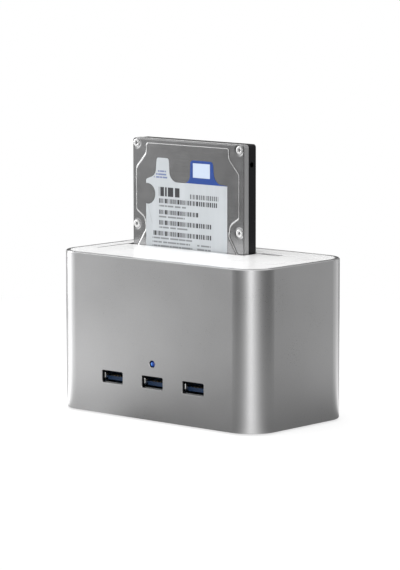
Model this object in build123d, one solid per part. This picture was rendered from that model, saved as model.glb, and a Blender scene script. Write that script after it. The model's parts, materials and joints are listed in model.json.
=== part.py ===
from build123d import *
import os

# Docking station for bare hard drives, with a 2.5-inch drive standing in it.
# Millimetres. The origin lies on the table, below the middle of the station. +X runs to the
# right as the ports are faced, +Y runs to the back, where the power comes in, and +Z is up.

# 3.5-inch drive that the slot is made for
BIG_DRIVE_W = 101.6
BIG_DRIVE_D = 26.1

# Station from outside: the margins lie between the slot and the sides of the body
SLOT_SIDE_MARGIN = 9.5
SLOT_FRONT_MARGIN = 24.1
SLOT_BACK_MARGIN = 16.9
BODY_H = 75.0
BODY_CORNER_R = 13.5
SLEEVE_WALL = 2.0
SLEEVE_BEVEL = 0.4
FOOT_SHOW = 0.8

# Gaps, overruns and fasteners' fits
FIT_GAP = 0.2
MOVE_GAP = 0.3
PIN_GAP = 0.05
GRIP_GAP = 0.02
OVERRUN = 1.0
TOUCH = 0.01
ROUND_END_SHARE = 0.98

# Ports and lamp in the front of the sleeve
PORT_COUNT = 3
PORT_PITCH = 25.2
PORT_LIFT = 17.75
PORT_CUT_W = 12.7
PORT_CUT_H = 5.4
PORT_CUT_R = 0.5
PORT_BEVEL = 0.3
PORT_POCKET = 0.9
LAMP_LIFT = 26.5
LAMP_HOLE_R = 1.5

# Slot in the top and the well below it
SLOT_SIDE_GAP = 2.2
SLOT_DEPTH_GAP = 1.9
WELL_FRONT_GAP = 5.1
LOW_RIB_H = 13.4
SLOT_CORNER_R = 1.0
WELL_WALL = 1.6
WELL_FLOOR = 2.0
GUIDE_RIB_T = 2.0
BACK_RIB_DROP = 10.0
GUIDE_RIB_RAMP = 3.0
FRONT_RIB_X_SHARES = (-0.42, -0.14, 0.14, 0.42)
BACK_RIB_X_SHARES = (-0.45, -0.225, 0.0, 0.225, 0.45)
SIDE_RIB_Y_SHARES = (0.25, 0.75)

# Top cover
COVER_T = 2.0
COVER_SKIRT_T = 1.2
COVER_SKIRT_H = 4.0
COVER_BOSS_R = 2.8
COVER_BOSS_H = 5.0
COVER_BOSS_SIDE = 17.5
COVER_BOSS_FRONT = 12.5
COVER_BOSS_BACK = 10.0

# Flap in the slot, hinged along its front edge
FLAP_T = 1.8
FLAP_GAP = 0.4
FLAP_DROP = 3.8
FLAP_PIN_AHEAD = 3.3
FLAP_PIN_R = 0.75
FLAP_KNUCKLE_R = 1.5
FLAP_KNUCKLE_W = 7.4
FLAP_EAR_W = 3.0
FLAP_KNUCKLE_INSET = 11.2
FLAP_ARM_REACH = 8.0
FLAP_RIB_T = 1.2
FLAP_RIB_H = 1.6
FLAP_RIB_X_SHARES = (-0.3, -0.1, 0.1, 0.3)
FLAP_STRIP_GAP = 0.8
FLAP_LEG_GAP = 1.35
FLAP_NOTCH_W = 13.0
FLAP_NOTCH_D = 1.5
WELL_TAB_SINK = 0.3

# Torsion spring round the hinge pin
SPRING_WIRE_R = 0.25
SPRING_COIL_R = 1.3
SPRING_PITCH = 0.65
SPRING_TURNS = 4.25
SPRING_INSET = 25.0
SPRING_FLAP_LEG = 8.0
SPRING_WELL_LEG = 6.0

# Base plate, feet and the screws that come up through it
BASE_T = 2.0
BASE_RIM_T = 1.2
BASE_RIM_H = 6.0
FOOT_R = 6.0
FOOT_SEAT = 0.6
FOOT_EDGE = 0.4
FOOT_SIDE = 21.5
FOOT_END = 12.5
POST_SIDE = 6.5
POST_END = 8.5
POST_R = 3.2
POST_ARM_T = 4.0
POST_ABOVE_FLOOR = 6.3
SCREW_R = 1.45
SCREW_HOLE_R = 1.7
SCREW_HEAD_R = 2.7
SCREW_HEAD_H = 1.8
SCREW_HEAD_SINK = 0.4
SCREW_GRIP = 9.0
SOCKET_SHARE = 0.5
VENT_COUNT = 6
VENT_PITCH = 5.0
VENT_W = 24.0
VENT_D = 2.0

# Small screws
SMALL_SCREW_R = 1.2
SMALL_HEAD_R = 2.2
SMALL_HEAD_H = 1.4
SMALL_SCREW_GRIP = 4.0
BOARD_SCREW_X_SHARES = (-0.5, 0.5)
BOARD_SCREW_BACK = 8.5

# Main board and what is soldered to it, at shares of the body's width and depth
BOARD_T = 1.6
BOARD_GAP = 0.9
HUB_CHIP = (9.0, 9.0, 0.9)
HUB_CHIP_SHARES = (0.08, -0.1)
BRIDGE_CHIP = (8.0, 8.0, 0.9)
BRIDGE_CHIP_SHARES = (-0.19, -0.04)
FLASH_CHIP = (5.0, 4.0, 1.5)
FLASH_CHIP_SHARES = (-0.32, -0.04)
REGULATOR_CHIP = (6.6, 6.1, 2.3)
REGULATOR_CHIP_SHARES = (0.4, 0.015)
CHIP_BEVEL = 0.15
PIN_ONE_R = 0.5
PIN_ONE_SINK = 0.1
CRYSTAL_L = 11.0
CRYSTAL_W = 4.6
CRYSTAL_H = 3.5
CRYSTAL_SHARES = ((-0.03, -0.1), (-0.19, 0.08))
INDUCTOR_SIDE = 7.0
INDUCTOR_H = 4.0
INDUCTOR_CORNER = 1.2
INDUCTOR_CORE_R = 2.8
INDUCTOR_CORE_SINK = 0.3
INDUCTOR_SHARES = ((0.224, -0.06), (0.312, -0.06))
CAPACITOR_R = 3.15
CAPACITOR_H = 7.7
CAPACITOR_FOOT_H = 0.9
CAPACITOR_NECK_R = 2.85
CAPACITOR_NECK_H = 0.8
CAPACITOR_SHARES = ((0.224, 0.116), (0.296, 0.116), (0.368, 0.174))

# Front sockets, type A
A_SHELL_W = 13.1
A_SHELL_H = 5.7
A_SHELL_L = 13.2
A_SHELL_T = 0.3
A_WINDOW_W = 2.4
A_WINDOW_L = 4.4
A_WINDOW_BACK = 3.2
A_WINDOW_SPACING = 5.4
A_TAB_W = 1.8
A_TAB_H = 2.6
A_TAB_BACK = 8.0
A_BLOCK_L = 3.6
A_TONGUE_W = 11.1
A_TONGUE_T = 1.84
A_TONGUE_LIFT = 0.7
A_TONGUE_BACK = 1.9
A_CONTACT_W = 1.0
A_CONTACT_T = 0.15
A_CONTACT_L = 5.6
A_CONTACT_BACK = 3.5
A_CONTACT_SHARES = (-0.315, -0.09, 0.09, 0.315)
A_FAST_CONTACT_L = 1.0
A_FAST_CONTACT_W = 0.6
A_FAST_CONTACT_BACK = 2.2
A_FAST_CONTACT_SHARES = (-0.36, -0.18, 0.0, 0.18, 0.36)

# Back socket, type B
B_X_SHARE = 0.08
B_SHELL_W = 12.0
B_SHELL_H = 11.2
B_SHELL_L = 17.6
B_SHELL_T = 0.35
B_SINK = 2.6
B_MOUTH_W = 8.45
B_MOUTH_H = 7.0
B_MOUTH_CUT = 1.4
B_MOUTH_LIFT = 0.8
B_CROWN_W = 5.7
B_CROWN_H = 2.3
B_MOUTH_DEPTH = 9.0
B_TONGUE_W = 5.6
B_TONGUE_T = 2.6
B_TONGUE_LIFT = 2.2
B_CROWN_TONGUE_W = 4.4
B_CROWN_TONGUE_T = 0.8
B_CROWN_TONGUE_LIFT = 0.7
B_TONGUE_BACK = 1.4
B_CONTACT_W = 0.6
B_CONTACT_T = 0.12
B_CONTACT_L = 6.0
B_CONTACT_SHARES = (-0.3, 0.3)
B_FAST_CONTACT_W = 0.36
B_FAST_CONTACT_SHARES = (-0.4, -0.2, 0.0, 0.2, 0.4)
B_CUT_GAP = 0.3

# Back power inlet
JACK_X_SHARE = 0.336
JACK_W = 9.0
JACK_H = 11.0
JACK_L = 11.2
JACK_LIFT = 6.3
JACK_NOSE_R = 3.9
JACK_BORE_R = 3.15
JACK_BORE_L = 9.5
JACK_PIN_R = 1.05
JACK_PIN_BACK = 1.2
JACK_CONTACT_W = 2.0
JACK_CONTACT_T = 0.3
JACK_LEG_W = 2.4
JACK_LEG_T = 0.5
JACK_LEG_H = 3.2
JACK_HOLE_GAP = 0.3

# Back power button
BUTTON_X_SHARE = 0.216
BUTTON_R = 3.0
BUTTON_TRAVEL = 1.5
BUTTON_CAP_L = 4.6
BUTTON_EDGE = 0.5
BUTTON_LIFT = 4.6
PLUNGER_SIDE = 3.0
PLUNGER_L = 5.0
SWITCH_SIDE = 8.5
SWITCH_L = 8.2
SWITCH_PIN_R = 0.4
SWITCH_PIN_H = 3.0
SWITCH_PIN_SHARES = (-0.3, 0.0, 0.3)

# Lamp behind the front
LAMP_R = 1.4
LAMP_DOME_SHARE = 0.9
LAMP_L = 4.6
LAMP_FLANGE_R = 1.75
LAMP_FLANGE_T = 0.8
LAMP_LEAD_R = 0.25
LAMP_LEAD_X = 0.85
LAMP_LEAD_BACK = 16.3
LAMP_LEAD_BEND = 0.75

# Docking connector on the main board
DOCK_BASE_W = 43.0
DOCK_BASE_D = 8.0
DOCK_BASE_H = 6.0
DOCK_PLUG_W = 37.4
DOCK_PLUG_D = 4.4
DOCK_REACH = 5.6
DOCK_SLOT_DEPTH = 5.4
DOCK_SLOT_D = 1.8
DOCK_KEY_W = 1.5
DOCK_KEY_D = 0.7
DOCK_CONTACT_W = 0.7
DOCK_CONTACT_T = 0.2
DOCK_CONTACT_PITCH = 1.27
DOCK_FROM_DRIVE_EDGE = 26.1
DOCK_FROM_DRIVE_BACK = 3.5
POWER_CONTACTS = 15
DATA_CONTACTS = 7
SEGMENT_GAP = 2.4

# 2.5-inch drive, standing label forwards
DRIVE_W = 69.85
DRIVE_L = 100.2
DRIVE_T = 9.5
DRIVE_SIDE_GAP = 2.8
DRIVE_BACK_GAP = 1.1
DRIVE_ABOVE_BOARD = 11.3
DRIVE_CORNER_R = 1.5
DRIVE_FLANGE_T = 3.1
DRIVE_WAIST = 0.15
DRIVE_COVER_T = 0.6
DRIVE_PLATEAU_T = 0.4
DRIVE_COVER_INSET = 0.2
DRIVE_PLATEAU_R = 2.0
DRIVE_PLATEAU_DOME = 0.25
# Half of the raised middle's outline, from the middle of the top edge down one side: how far
# out from the middle, as shares of the drive's width, and how far down, as shares of its length.
PLATEAU_SHARES = (
    (0.371, 0.022),
    (0.371, 0.07),
    (0.463, 0.14),
    (0.463, 0.344),
    (0.392, 0.376),
    (0.374, 0.43),
    (0.463, 0.53),
    (0.463, 0.86),
    (0.39, 0.925),
    (0.39, 0.98),
)
COVER_SCREW_INSET = 2.5
COVER_SCREW_DOWN_SHARES = (0.025, 0.413, 0.975)
COVER_SCREW_R = 1.75
COVER_SCREW_H = 0.35
COVER_SCREW_SOCKET_R = 0.8
COVER_SCREW_SOCKET_DEPTH = 0.2
LABEL_T = 0.12
# Outline of the label, clockwise from the top of its left tab: across and round as shares of the
# drive's width, and down as a share of its length.
LABEL_SHARES = (
    (0.228, 0.088, 0.017),
    (0.335, 0.088, 0.019),
    (0.348, 0.2, 0.072),
    (0.528, 0.2, 0.057),
    (0.535, 0.089, 0.023),
    (0.734, 0.089, 0.026),
    (0.75, 0.192, 0.074),
    (0.863, 0.197, 0.006),
    (0.863, 0.88, 0.011),
    (0.129, 0.88, 0.011),
    (0.129, 0.194, 0.017),
    (0.216, 0.172, 0.064),
)
LABEL_NOTCH_SHARES = (0.142, 0.263)
LABEL_NOTCH_R = 5.0
SIDE_HOLE_R = 1.25
SIDE_HOLE_DEPTH = 3.0
SIDE_HOLE_FROM_BACK = 3.0
MOUNT_HOLES_UP = (14.0, 90.6)
MOTOR_DOWN = 34.0
MOTOR_R = 12.0
MOTOR_GROOVE_W = 1.0
MOTOR_GROOVE_DEPTH = 0.4
BUMP_INSET = 3.0
BUMP_H = 0.5
DRIVE_RIM_T = 2.6
DRIVE_BACK_SINK = 1.2
DRIVE_BOARD_T = 0.8
DRIVE_BOARD_H = 64.0
DRIVE_BOARD_CHAMFER = 9.0
DRIVE_CHIP = (10.0, 12.0, 0.25)
DRIVE_CHIP_AT_SHARES = ((0.3, 0.5), (0.68, 0.56), (0.55, 0.28))
DRIVE_BOARD_SCREW_R = 1.5
DRIVE_BOARD_SCREW_H = 0.3
DRIVE_BOARD_SCREW_INSET = 3.0
PLUG_W = 42.0
PLUG_L = 8.0
PLUG_WALL = 0.8
PLUG_MOUTH_W = 39.0
PLUG_MOUTH_D = 5.2
PLUG_MOUTH_DEPTH = 6.5
PLUG_TONGUE_T = 1.2
PLUG_TONGUE_BACK = 1.0
PLUG_CONTACT_L = 4.2
PLUG_CONTACT_T = 0.08

# Heights and places that follow from the sizes above
SLOT_W = BIG_DRIVE_W + 2 * SLOT_SIDE_GAP
SLOT_D = BIG_DRIVE_D + SLOT_DEPTH_GAP
BODY_W = SLOT_W + 2 * SLOT_SIDE_MARGIN
BODY_D = SLOT_FRONT_MARGIN + SLOT_D + SLOT_BACK_MARGIN
SLEEVE_Z = FOOT_SHOW
TOP_Z = SLEEVE_Z + BODY_H
INNER_W = BODY_W - 2 * SLEEVE_WALL
INNER_D = BODY_D - 2 * SLEEVE_WALL
INNER_R = BODY_CORNER_R - SLEEVE_WALL
FRONT_Y = -BODY_D / 2
BACK_Y = BODY_D / 2
SLOT_BACK_Y = BACK_Y - SLOT_BACK_MARGIN
SLOT_FRONT_Y = SLOT_BACK_Y - SLOT_D
SLOT_MID_Y = SLOT_BACK_Y - SLOT_D / 2
WELL_FRONT_Y = SLOT_FRONT_Y - WELL_FRONT_GAP
PORT_Z = SLEEVE_Z + PORT_LIFT
LAMP_Z = SLEEVE_Z + LAMP_LIFT
LAMP_LEAD_Y = FRONT_Y + LAMP_LEAD_BACK
BOARD_TOP = PORT_Z - A_SHELL_H / 2
BOARD_Z = BOARD_TOP - BOARD_T
BASE_TOP = SLEEVE_Z + BASE_T
COVER_Z = TOP_Z - COVER_T
DRIVE_Z = BOARD_TOP + DRIVE_ABOVE_BOARD
DRIVE_TOP = DRIVE_Z + DRIVE_L
DRIVE_BACK_Y = SLOT_BACK_Y - DRIVE_BACK_GAP
DRIVE_FRONT_Y = DRIVE_BACK_Y - DRIVE_T
DRIVE_LEFT_X = -SLOT_W / 2 + DRIVE_SIDE_GAP
DRIVE_RIGHT_X = DRIVE_LEFT_X + DRIVE_W
DRIVE_MID_X = DRIVE_LEFT_X + DRIVE_W / 2
FLOOR_TOP = DRIVE_Z - MOVE_GAP
FLOOR_Z = FLOOR_TOP - WELL_FLOOR
POST_TOP = FLOOR_TOP + POST_ABOVE_FLOOR
FLAP_PIN_Y = SLOT_FRONT_Y - FLAP_PIN_AHEAD
FLAP_PIN_Z = TOP_Z - FLAP_DROP
FLAP_KNUCKLE_X = SLOT_W / 2 - FLAP_KNUCKLE_INSET
FLAP_STRIP_BACK_Y = DRIVE_FRONT_Y - FLAP_STRIP_GAP
FLAP_LEG_X = DRIVE_RIGHT_X + FLAP_LEG_GAP
SPRING_X = -SLOT_W / 2 + SPRING_INSET
DOCK_X = DRIVE_LEFT_X + DOCK_FROM_DRIVE_EDGE
DOCK_Y = DRIVE_BACK_Y - DOCK_FROM_DRIVE_BACK
B_X = BODY_W * B_X_SHARE
B_Z = BOARD_TOP - B_SINK
JACK_X = BODY_W * JACK_X_SHARE
JACK_Z = BOARD_TOP + JACK_LIFT
BUTTON_X = BODY_W * BUTTON_X_SHARE
BUTTON_Z = BOARD_TOP + BUTTON_LIFT
BOSS_Z = COVER_Z - COVER_BOSS_H
BOSS_X = BODY_W / 2 - COVER_BOSS_SIDE
BOSS_ROWS = (FRONT_Y + COVER_BOSS_FRONT, BACK_Y - COVER_BOSS_BACK)
BOSS_PLACES = [(x, y) for x in (-BOSS_X, BOSS_X) for y in BOSS_ROWS]
POST_X = INNER_W / 2 - POST_SIDE
POST_Y = INNER_D / 2 - POST_END
POST_PLACES = [(x, y) for x in (-POST_X, POST_X) for y in (-POST_Y, POST_Y)]
FOOT_X = BODY_W / 2 - FOOT_SIDE
FOOT_Y = BODY_D / 2 - FOOT_END
FOOT_PLACES = [(x, y) for x in (-FOOT_X, FOOT_X) for y in (-FOOT_Y, FOOT_Y)]
BOARD_SCREW_PLACES = [(PORT_PITCH * share, FRONT_Y + BOARD_SCREW_BACK) for share in BOARD_SCREW_X_SHARES]


def block(x0, x1, y0, y1, z0, z1):
    """Box between six faces."""
    middle = Pos((x0 + x1) / 2, (y0 + y1) / 2, (z0 + z1) / 2)
    return middle * Box(x1 - x0, y1 - y0, z1 - z0)


def plate(width, depth, corner_r, z0, z1, x=0, y=0):
    """Flat plate with rounded corners, lying level."""
    return Pos(x, y, z0) * extrude(RectangleRounded(width, depth, corner_r), z1 - z0)


def rod_x(y, z, r, x0, x1):
    """Round bar along X."""
    return Pos((x0 + x1) / 2, y, z) * Rot(0, 90, 0) * Cylinder(r, x1 - x0)


def rod_y(x, z, r, y0, y1):
    """Round bar along Y."""
    return Pos(x, (y0 + y1) / 2, z) * Rot(90, 0, 0) * Cylinder(r, y1 - y0)


def rod_z(x, y, r, z0, z1):
    """Round bar along Z."""
    return Pos(x, y, (z0 + z1) / 2) * Cylinder(r, z1 - z0)


def strip(middle_x, width, y0, y1, z0, z1):
    """Flat strip centred on an X."""
    return block(middle_x - width / 2, middle_x + width / 2, y0, y1, z0, z1)


def group(pieces):
    """Several loose pieces as one node."""
    return Compound([solid for piece in pieces for solid in piece.solids()])


def edges_at(shape, axis, place):
    """Edges whose middle lies at a place along an axis."""
    return shape.edges().filter_by_position(axis, place - TOUCH, place + TOUCH)


def screw_up(x, y, z_head, head_r, head_h, shank_r, shank_l):
    """Pan-head screw that points up, with a six-sided socket in its head."""
    head = rod_z(x, y, head_r, z_head, z_head + head_h)
    shank = rod_z(x, y, shank_r, z_head + head_h, z_head + head_h + shank_l)
    socket = Pos(x, y, z_head) * extrude(RegularPolygon(head_r * SOCKET_SHARE, 6), head_h * SOCKET_SHARE)
    return head + shank - socket


def housing_sleeve():
    """Extruded tube, bevelled at both rims, with its cut-outs and a pocket behind each port."""
    solid = plate(BODY_W, BODY_D, BODY_CORNER_R, SLEEVE_Z, TOP_Z)
    rims = edges_at(solid, Axis.Z, SLEEVE_Z) + edges_at(solid, Axis.Z, TOP_Z)
    solid = chamfer(rims, SLEEVE_BEVEL)
    solid -= plate(INNER_W, INNER_D, INNER_R, SLEEVE_Z - OVERRUN, TOP_Z + OVERRUN)
    for index in range(PORT_COUNT):
        mouth = extrude(RectangleRounded(PORT_CUT_W, PORT_CUT_H, PORT_CUT_R), SLEEVE_WALL + 2 * OVERRUN)
        solid -= Pos(port_x(index), FRONT_Y + SLEEVE_WALL + OVERRUN, PORT_Z) * Rot(90, 0, 0) * mouth
    solid -= rod_y(0, LAMP_Z, LAMP_HOLE_R, FRONT_Y - OVERRUN, FRONT_Y + SLEEVE_WALL + OVERRUN)
    front_edges = edges_at(solid, Axis.Y, FRONT_Y)
    ports_and_lamp = front_edges.filter_by_position(Axis.Z, PORT_Z - PORT_CUT_H, LAMP_Z + PORT_CUT_H)
    cut_reach = PORT_COUNT * PORT_PITCH / 2
    solid = chamfer(ports_and_lamp.filter_by_position(Axis.X, -cut_reach, cut_reach), PORT_BEVEL)
    for index in range(PORT_COUNT):
        solid -= block(
            port_x(index) - A_SHELL_W / 2 - FIT_GAP,
            port_x(index) + A_SHELL_W / 2 + FIT_GAP,
            FRONT_Y + SLEEVE_WALL - PORT_POCKET,
            FRONT_Y + SLEEVE_WALL,
            PORT_Z - A_SHELL_H / 2 - FIT_GAP,
            PORT_Z + A_SHELL_H / 2 + FIT_GAP,
        )
    solid -= block(
        B_X - B_SHELL_W / 2 - B_CUT_GAP,
        B_X + B_SHELL_W / 2 + B_CUT_GAP,
        BACK_Y - SLEEVE_WALL - OVERRUN,
        BACK_Y + OVERRUN,
        B_Z - B_CUT_GAP,
        B_Z + B_SHELL_H + B_CUT_GAP,
    )
    back_wall = (BACK_Y - SLEEVE_WALL - OVERRUN, BACK_Y + OVERRUN)
    solid -= rod_y(JACK_X, JACK_Z, JACK_NOSE_R + JACK_HOLE_GAP, *back_wall)
    solid -= rod_y(BUTTON_X, BUTTON_Z, BUTTON_R + MOVE_GAP, *back_wall)
    return solid


def top_cover():
    """Flush lid with a skirt, the slot, four screw bosses and the ears for the hinge pin."""
    width = INNER_W - 2 * FIT_GAP
    depth = INNER_D - 2 * FIT_GAP
    corner = INNER_R - FIT_GAP
    lid = plate(width, depth, corner, COVER_Z, TOP_Z)
    skirt = plate(width, depth, corner, COVER_Z - COVER_SKIRT_H, COVER_Z)
    inside = plate(
        width - 2 * COVER_SKIRT_T,
        depth - 2 * COVER_SKIRT_T,
        corner - COVER_SKIRT_T,
        COVER_Z - COVER_SKIRT_H,
        COVER_Z,
    )
    lid += skirt - inside
    lid -= plate(SLOT_W, SLOT_D, SLOT_CORNER_R, COVER_Z - OVERRUN, TOP_Z + OVERRUN, 0, SLOT_MID_Y)
    tab_right = FLAP_LEG_X + FLAP_NOTCH_W
    tab_back = SLOT_BACK_Y + WELL_WALL + FIT_GAP
    lid -= block(FLAP_LEG_X, tab_right, SLOT_BACK_Y, tab_back, COVER_Z, TOP_Z)
    for x, y in BOSS_PLACES:
        lid += rod_z(x, y, COVER_BOSS_R, BOSS_Z, COVER_Z)
        lid -= rod_z(x, y, SMALL_SCREW_R + GRIP_GAP, BOSS_Z, COVER_Z)
    for ear_x in hinge_ear_places():
        ear = block(
            ear_x - FLAP_EAR_W / 2,
            ear_x + FLAP_EAR_W / 2,
            FLAP_PIN_Y - FLAP_KNUCKLE_R,
            FLAP_PIN_Y + FLAP_KNUCKLE_R,
            FLAP_PIN_Z,
            COVER_Z,
        )
        ear += rod_x(FLAP_PIN_Y, FLAP_PIN_Z, FLAP_KNUCKLE_R, ear_x - FLAP_EAR_W / 2, ear_x + FLAP_EAR_W / 2)
        lid += ear
    half = SLOT_W / 2
    lid -= rod_x(FLAP_PIN_Y, FLAP_PIN_Z, FLAP_PIN_R + GRIP_GAP, -half, half)
    return lid


def hinge_ear_places():
    """Middles of the four ears, one on each side of each knuckle."""
    step = (FLAP_KNUCKLE_W + FLAP_EAR_W) / 2 + MOVE_GAP
    return [side * FLAP_KNUCKLE_X + hand * step for side in (-1, 1) for hand in (-1, 1)]


def slot_flap():
    """L-shaped lid of the slot: a strip in front of the small drive and a leg beside it."""
    left = -SLOT_W / 2 + FLAP_GAP
    right = SLOT_W / 2 - FLAP_GAP
    front = SLOT_FRONT_Y + FLAP_GAP
    back = SLOT_BACK_Y - FLAP_GAP
    bottom = TOP_Z - FLAP_T
    flap = block(left, right, front, FLAP_STRIP_BACK_Y, bottom, TOP_Z)
    flap += block(FLAP_LEG_X, right, FLAP_STRIP_BACK_Y, back, bottom, TOP_Z)
    flap -= block(FLAP_LEG_X, FLAP_LEG_X + FLAP_NOTCH_W, back - FLAP_NOTCH_D, back, bottom, TOP_Z)
    rib_bottom = bottom - FLAP_RIB_H
    for share in FLAP_RIB_X_SHARES:
        x = SLOT_W * share
        rib_back = back - FLAP_NOTCH_D if x > FLAP_LEG_X else FLAP_STRIP_BACK_Y
        flap += block(
            x - FLAP_RIB_T / 2,
            x + FLAP_RIB_T / 2,
            front + FLAP_RIB_T,
            rib_back - FLAP_RIB_T,
            rib_bottom,
            bottom,
        )
    for side in (-1, 1):
        flap += hinge_arm(side * FLAP_KNUCKLE_X, front, bottom)
    half = SLOT_W / 2
    return flap - rod_x(FLAP_PIN_Y, FLAP_PIN_Z, FLAP_PIN_R + PIN_GAP, -half, half)


def hinge_arm(x, front, bottom):
    """Knuckle round the pin and the wedge that joins it to the underside of the flap."""
    low = FLAP_PIN_Z - FLAP_KNUCKLE_R
    back = FLAP_PIN_Y + FLAP_ARM_REACH
    outline = Polyline(
        (FLAP_PIN_Y, low),
        (FLAP_PIN_Y, FLAP_PIN_Z + FLAP_KNUCKLE_R),
        (front, FLAP_PIN_Z + FLAP_KNUCKLE_R),
        (front, bottom),
        (back, bottom),
        close=True,
    )
    side_on = Plane(origin=(x - FLAP_KNUCKLE_W / 2, 0, 0), x_dir=(0, 1, 0), z_dir=(1, 0, 0))
    wedge = extrude(side_on * make_face(outline), FLAP_KNUCKLE_W)
    knuckle = rod_x(FLAP_PIN_Y, FLAP_PIN_Z, FLAP_KNUCKLE_R, x - FLAP_KNUCKLE_W / 2, x + FLAP_KNUCKLE_W / 2)
    return wedge + knuckle


def flap_hinge_pin():
    """Steel pin through the ears and knuckles."""
    reach = FLAP_KNUCKLE_X + FLAP_KNUCKLE_W / 2 + FLAP_EAR_W + 2 * MOVE_GAP
    return rod_x(FLAP_PIN_Y, FLAP_PIN_Z, FLAP_PIN_R, -reach, reach)


def flap_spring():
    """Torsion spring: one leg under the flap, the other down the front of the well."""
    side_on = Plane(origin=(SPRING_X, FLAP_PIN_Y, FLAP_PIN_Z), x_dir=(0, 1, 0), z_dir=(1, 0, 0))
    length = SPRING_PITCH * SPRING_TURNS
    coil = Rot(0, 0, 90) * Helix(SPRING_PITCH, length, SPRING_COIL_R)
    flap_leg = Line((SPRING_FLAP_LEG, SPRING_COIL_R, 0), (0, SPRING_COIL_R, 0))
    well_leg = Line((-SPRING_COIL_R, 0, length), (-SPRING_COIL_R, -SPRING_WELL_LEG, length))
    wire = Wire([flap_leg.edge(), coil.edge(), well_leg.edge()])
    start = Plane(origin=wire @ 0, z_dir=wire % 0)
    return side_on * sweep(start * Circle(SPRING_WIRE_R), wire)


def drive_well():
    """Moulded cradle on four posts: a well with guide ribs, screw ears and a tab in the cover."""
    half = SLOT_W / 2
    outer = block(
        -half - WELL_WALL,
        half + WELL_WALL,
        WELL_FRONT_Y - WELL_WALL,
        SLOT_BACK_Y + WELL_WALL,
        FLOOR_Z,
        COVER_Z,
    )
    well = outer - block(-half, half, WELL_FRONT_Y, SLOT_BACK_Y, FLOOR_TOP, COVER_Z)
    well += guide_ribs(half)
    well -= block(
        DOCK_X - DOCK_PLUG_W / 2 - 2 * MOVE_GAP,
        DOCK_X + DOCK_PLUG_W / 2 + 2 * MOVE_GAP,
        DOCK_Y - DOCK_PLUG_D / 2 - MOVE_GAP,
        DOCK_Y + DOCK_PLUG_D / 2 + MOVE_GAP,
        FLOOR_Z,
        FLOOR_TOP,
    )
    well += block(
        FLAP_LEG_X + FIT_GAP,
        FLAP_LEG_X + FLAP_NOTCH_W - FIT_GAP,
        SLOT_BACK_Y,
        SLOT_BACK_Y + WELL_WALL,
        COVER_Z,
        TOP_Z - WELL_TAB_SINK,
    )
    for x, y in POST_PLACES:
        well += rod_z(x, y, POST_R, BOARD_TOP, POST_TOP)
        wall_y = WELL_FRONT_Y - WELL_WALL if y < 0 else SLOT_BACK_Y + WELL_WALL
        near, far = sorted((wall_y, y))
        side = 1 if x > 0 else -1
        inner, outer_x = sorted((side * (half + WELL_WALL), side * (half + WELL_WALL - POST_ARM_T)))
        well += block(inner, outer_x, near, far, FLOOR_Z, POST_TOP)
        well -= rod_z(x, y, SCREW_R + GRIP_GAP, BOARD_TOP, BOARD_TOP + SCREW_GRIP + OVERRUN)
    for x, y in BOSS_PLACES:
        wall_y = WELL_FRONT_Y - WELL_WALL if y < 0 else SLOT_BACK_Y + WELL_WALL
        near, far = sorted((wall_y, y))
        ear = block(x - COVER_BOSS_R, x + COVER_BOSS_R, near, far, BOSS_Z - WELL_FLOOR, BOSS_Z)
        ear += rod_z(x, y, COVER_BOSS_R, BOSS_Z - WELL_FLOOR, BOSS_Z)
        well += ear
        well -= rod_z(x, y, SMALL_SCREW_R + FIT_GAP, BOSS_Z - WELL_FLOOR, BOSS_Z)
    return well


def guide_ribs(half):
    """Upright ribs that hold a drive to its place, below the sweep of the opening flap."""
    rib_half = GUIDE_RIB_T / 2
    front_face = DRIVE_BACK_Y - BIG_DRIVE_D - MOVE_GAP
    low_top = FLOOR_TOP + LOW_RIB_H
    ribs = []
    for share in FRONT_RIB_X_SHARES:
        x = SLOT_W * share
        outline = Polyline(
            (WELL_FRONT_Y, FLOOR_TOP),
            (front_face, FLOOR_TOP),
            (front_face, low_top - GUIDE_RIB_RAMP),
            (WELL_FRONT_Y, low_top),
            close=True,
        )
        side_on = Plane(origin=(x - rib_half, 0, 0), x_dir=(0, 1, 0), z_dir=(1, 0, 0))
        ribs.append(extrude(side_on * make_face(outline), GUIDE_RIB_T))
    back_top = COVER_Z - BACK_RIB_DROP
    back_face = DRIVE_BACK_Y + MOVE_GAP
    for share in BACK_RIB_X_SHARES:
        x = SLOT_W * share
        ribs.append(strip(x, GUIDE_RIB_T, back_face, SLOT_BACK_Y, FLOOR_TOP, back_top))
    side_face = BIG_DRIVE_W / 2 + MOVE_GAP
    for share in SIDE_RIB_Y_SHARES:
        y = SLOT_FRONT_Y + SLOT_D * share
        ribs.append(block(-half, -side_face, y - rib_half, y + rib_half, FLOOR_TOP, low_top))
        ribs.append(block(side_face, half, y - rib_half, y + rib_half, FLOOR_TOP, low_top))
    return ribs


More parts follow.
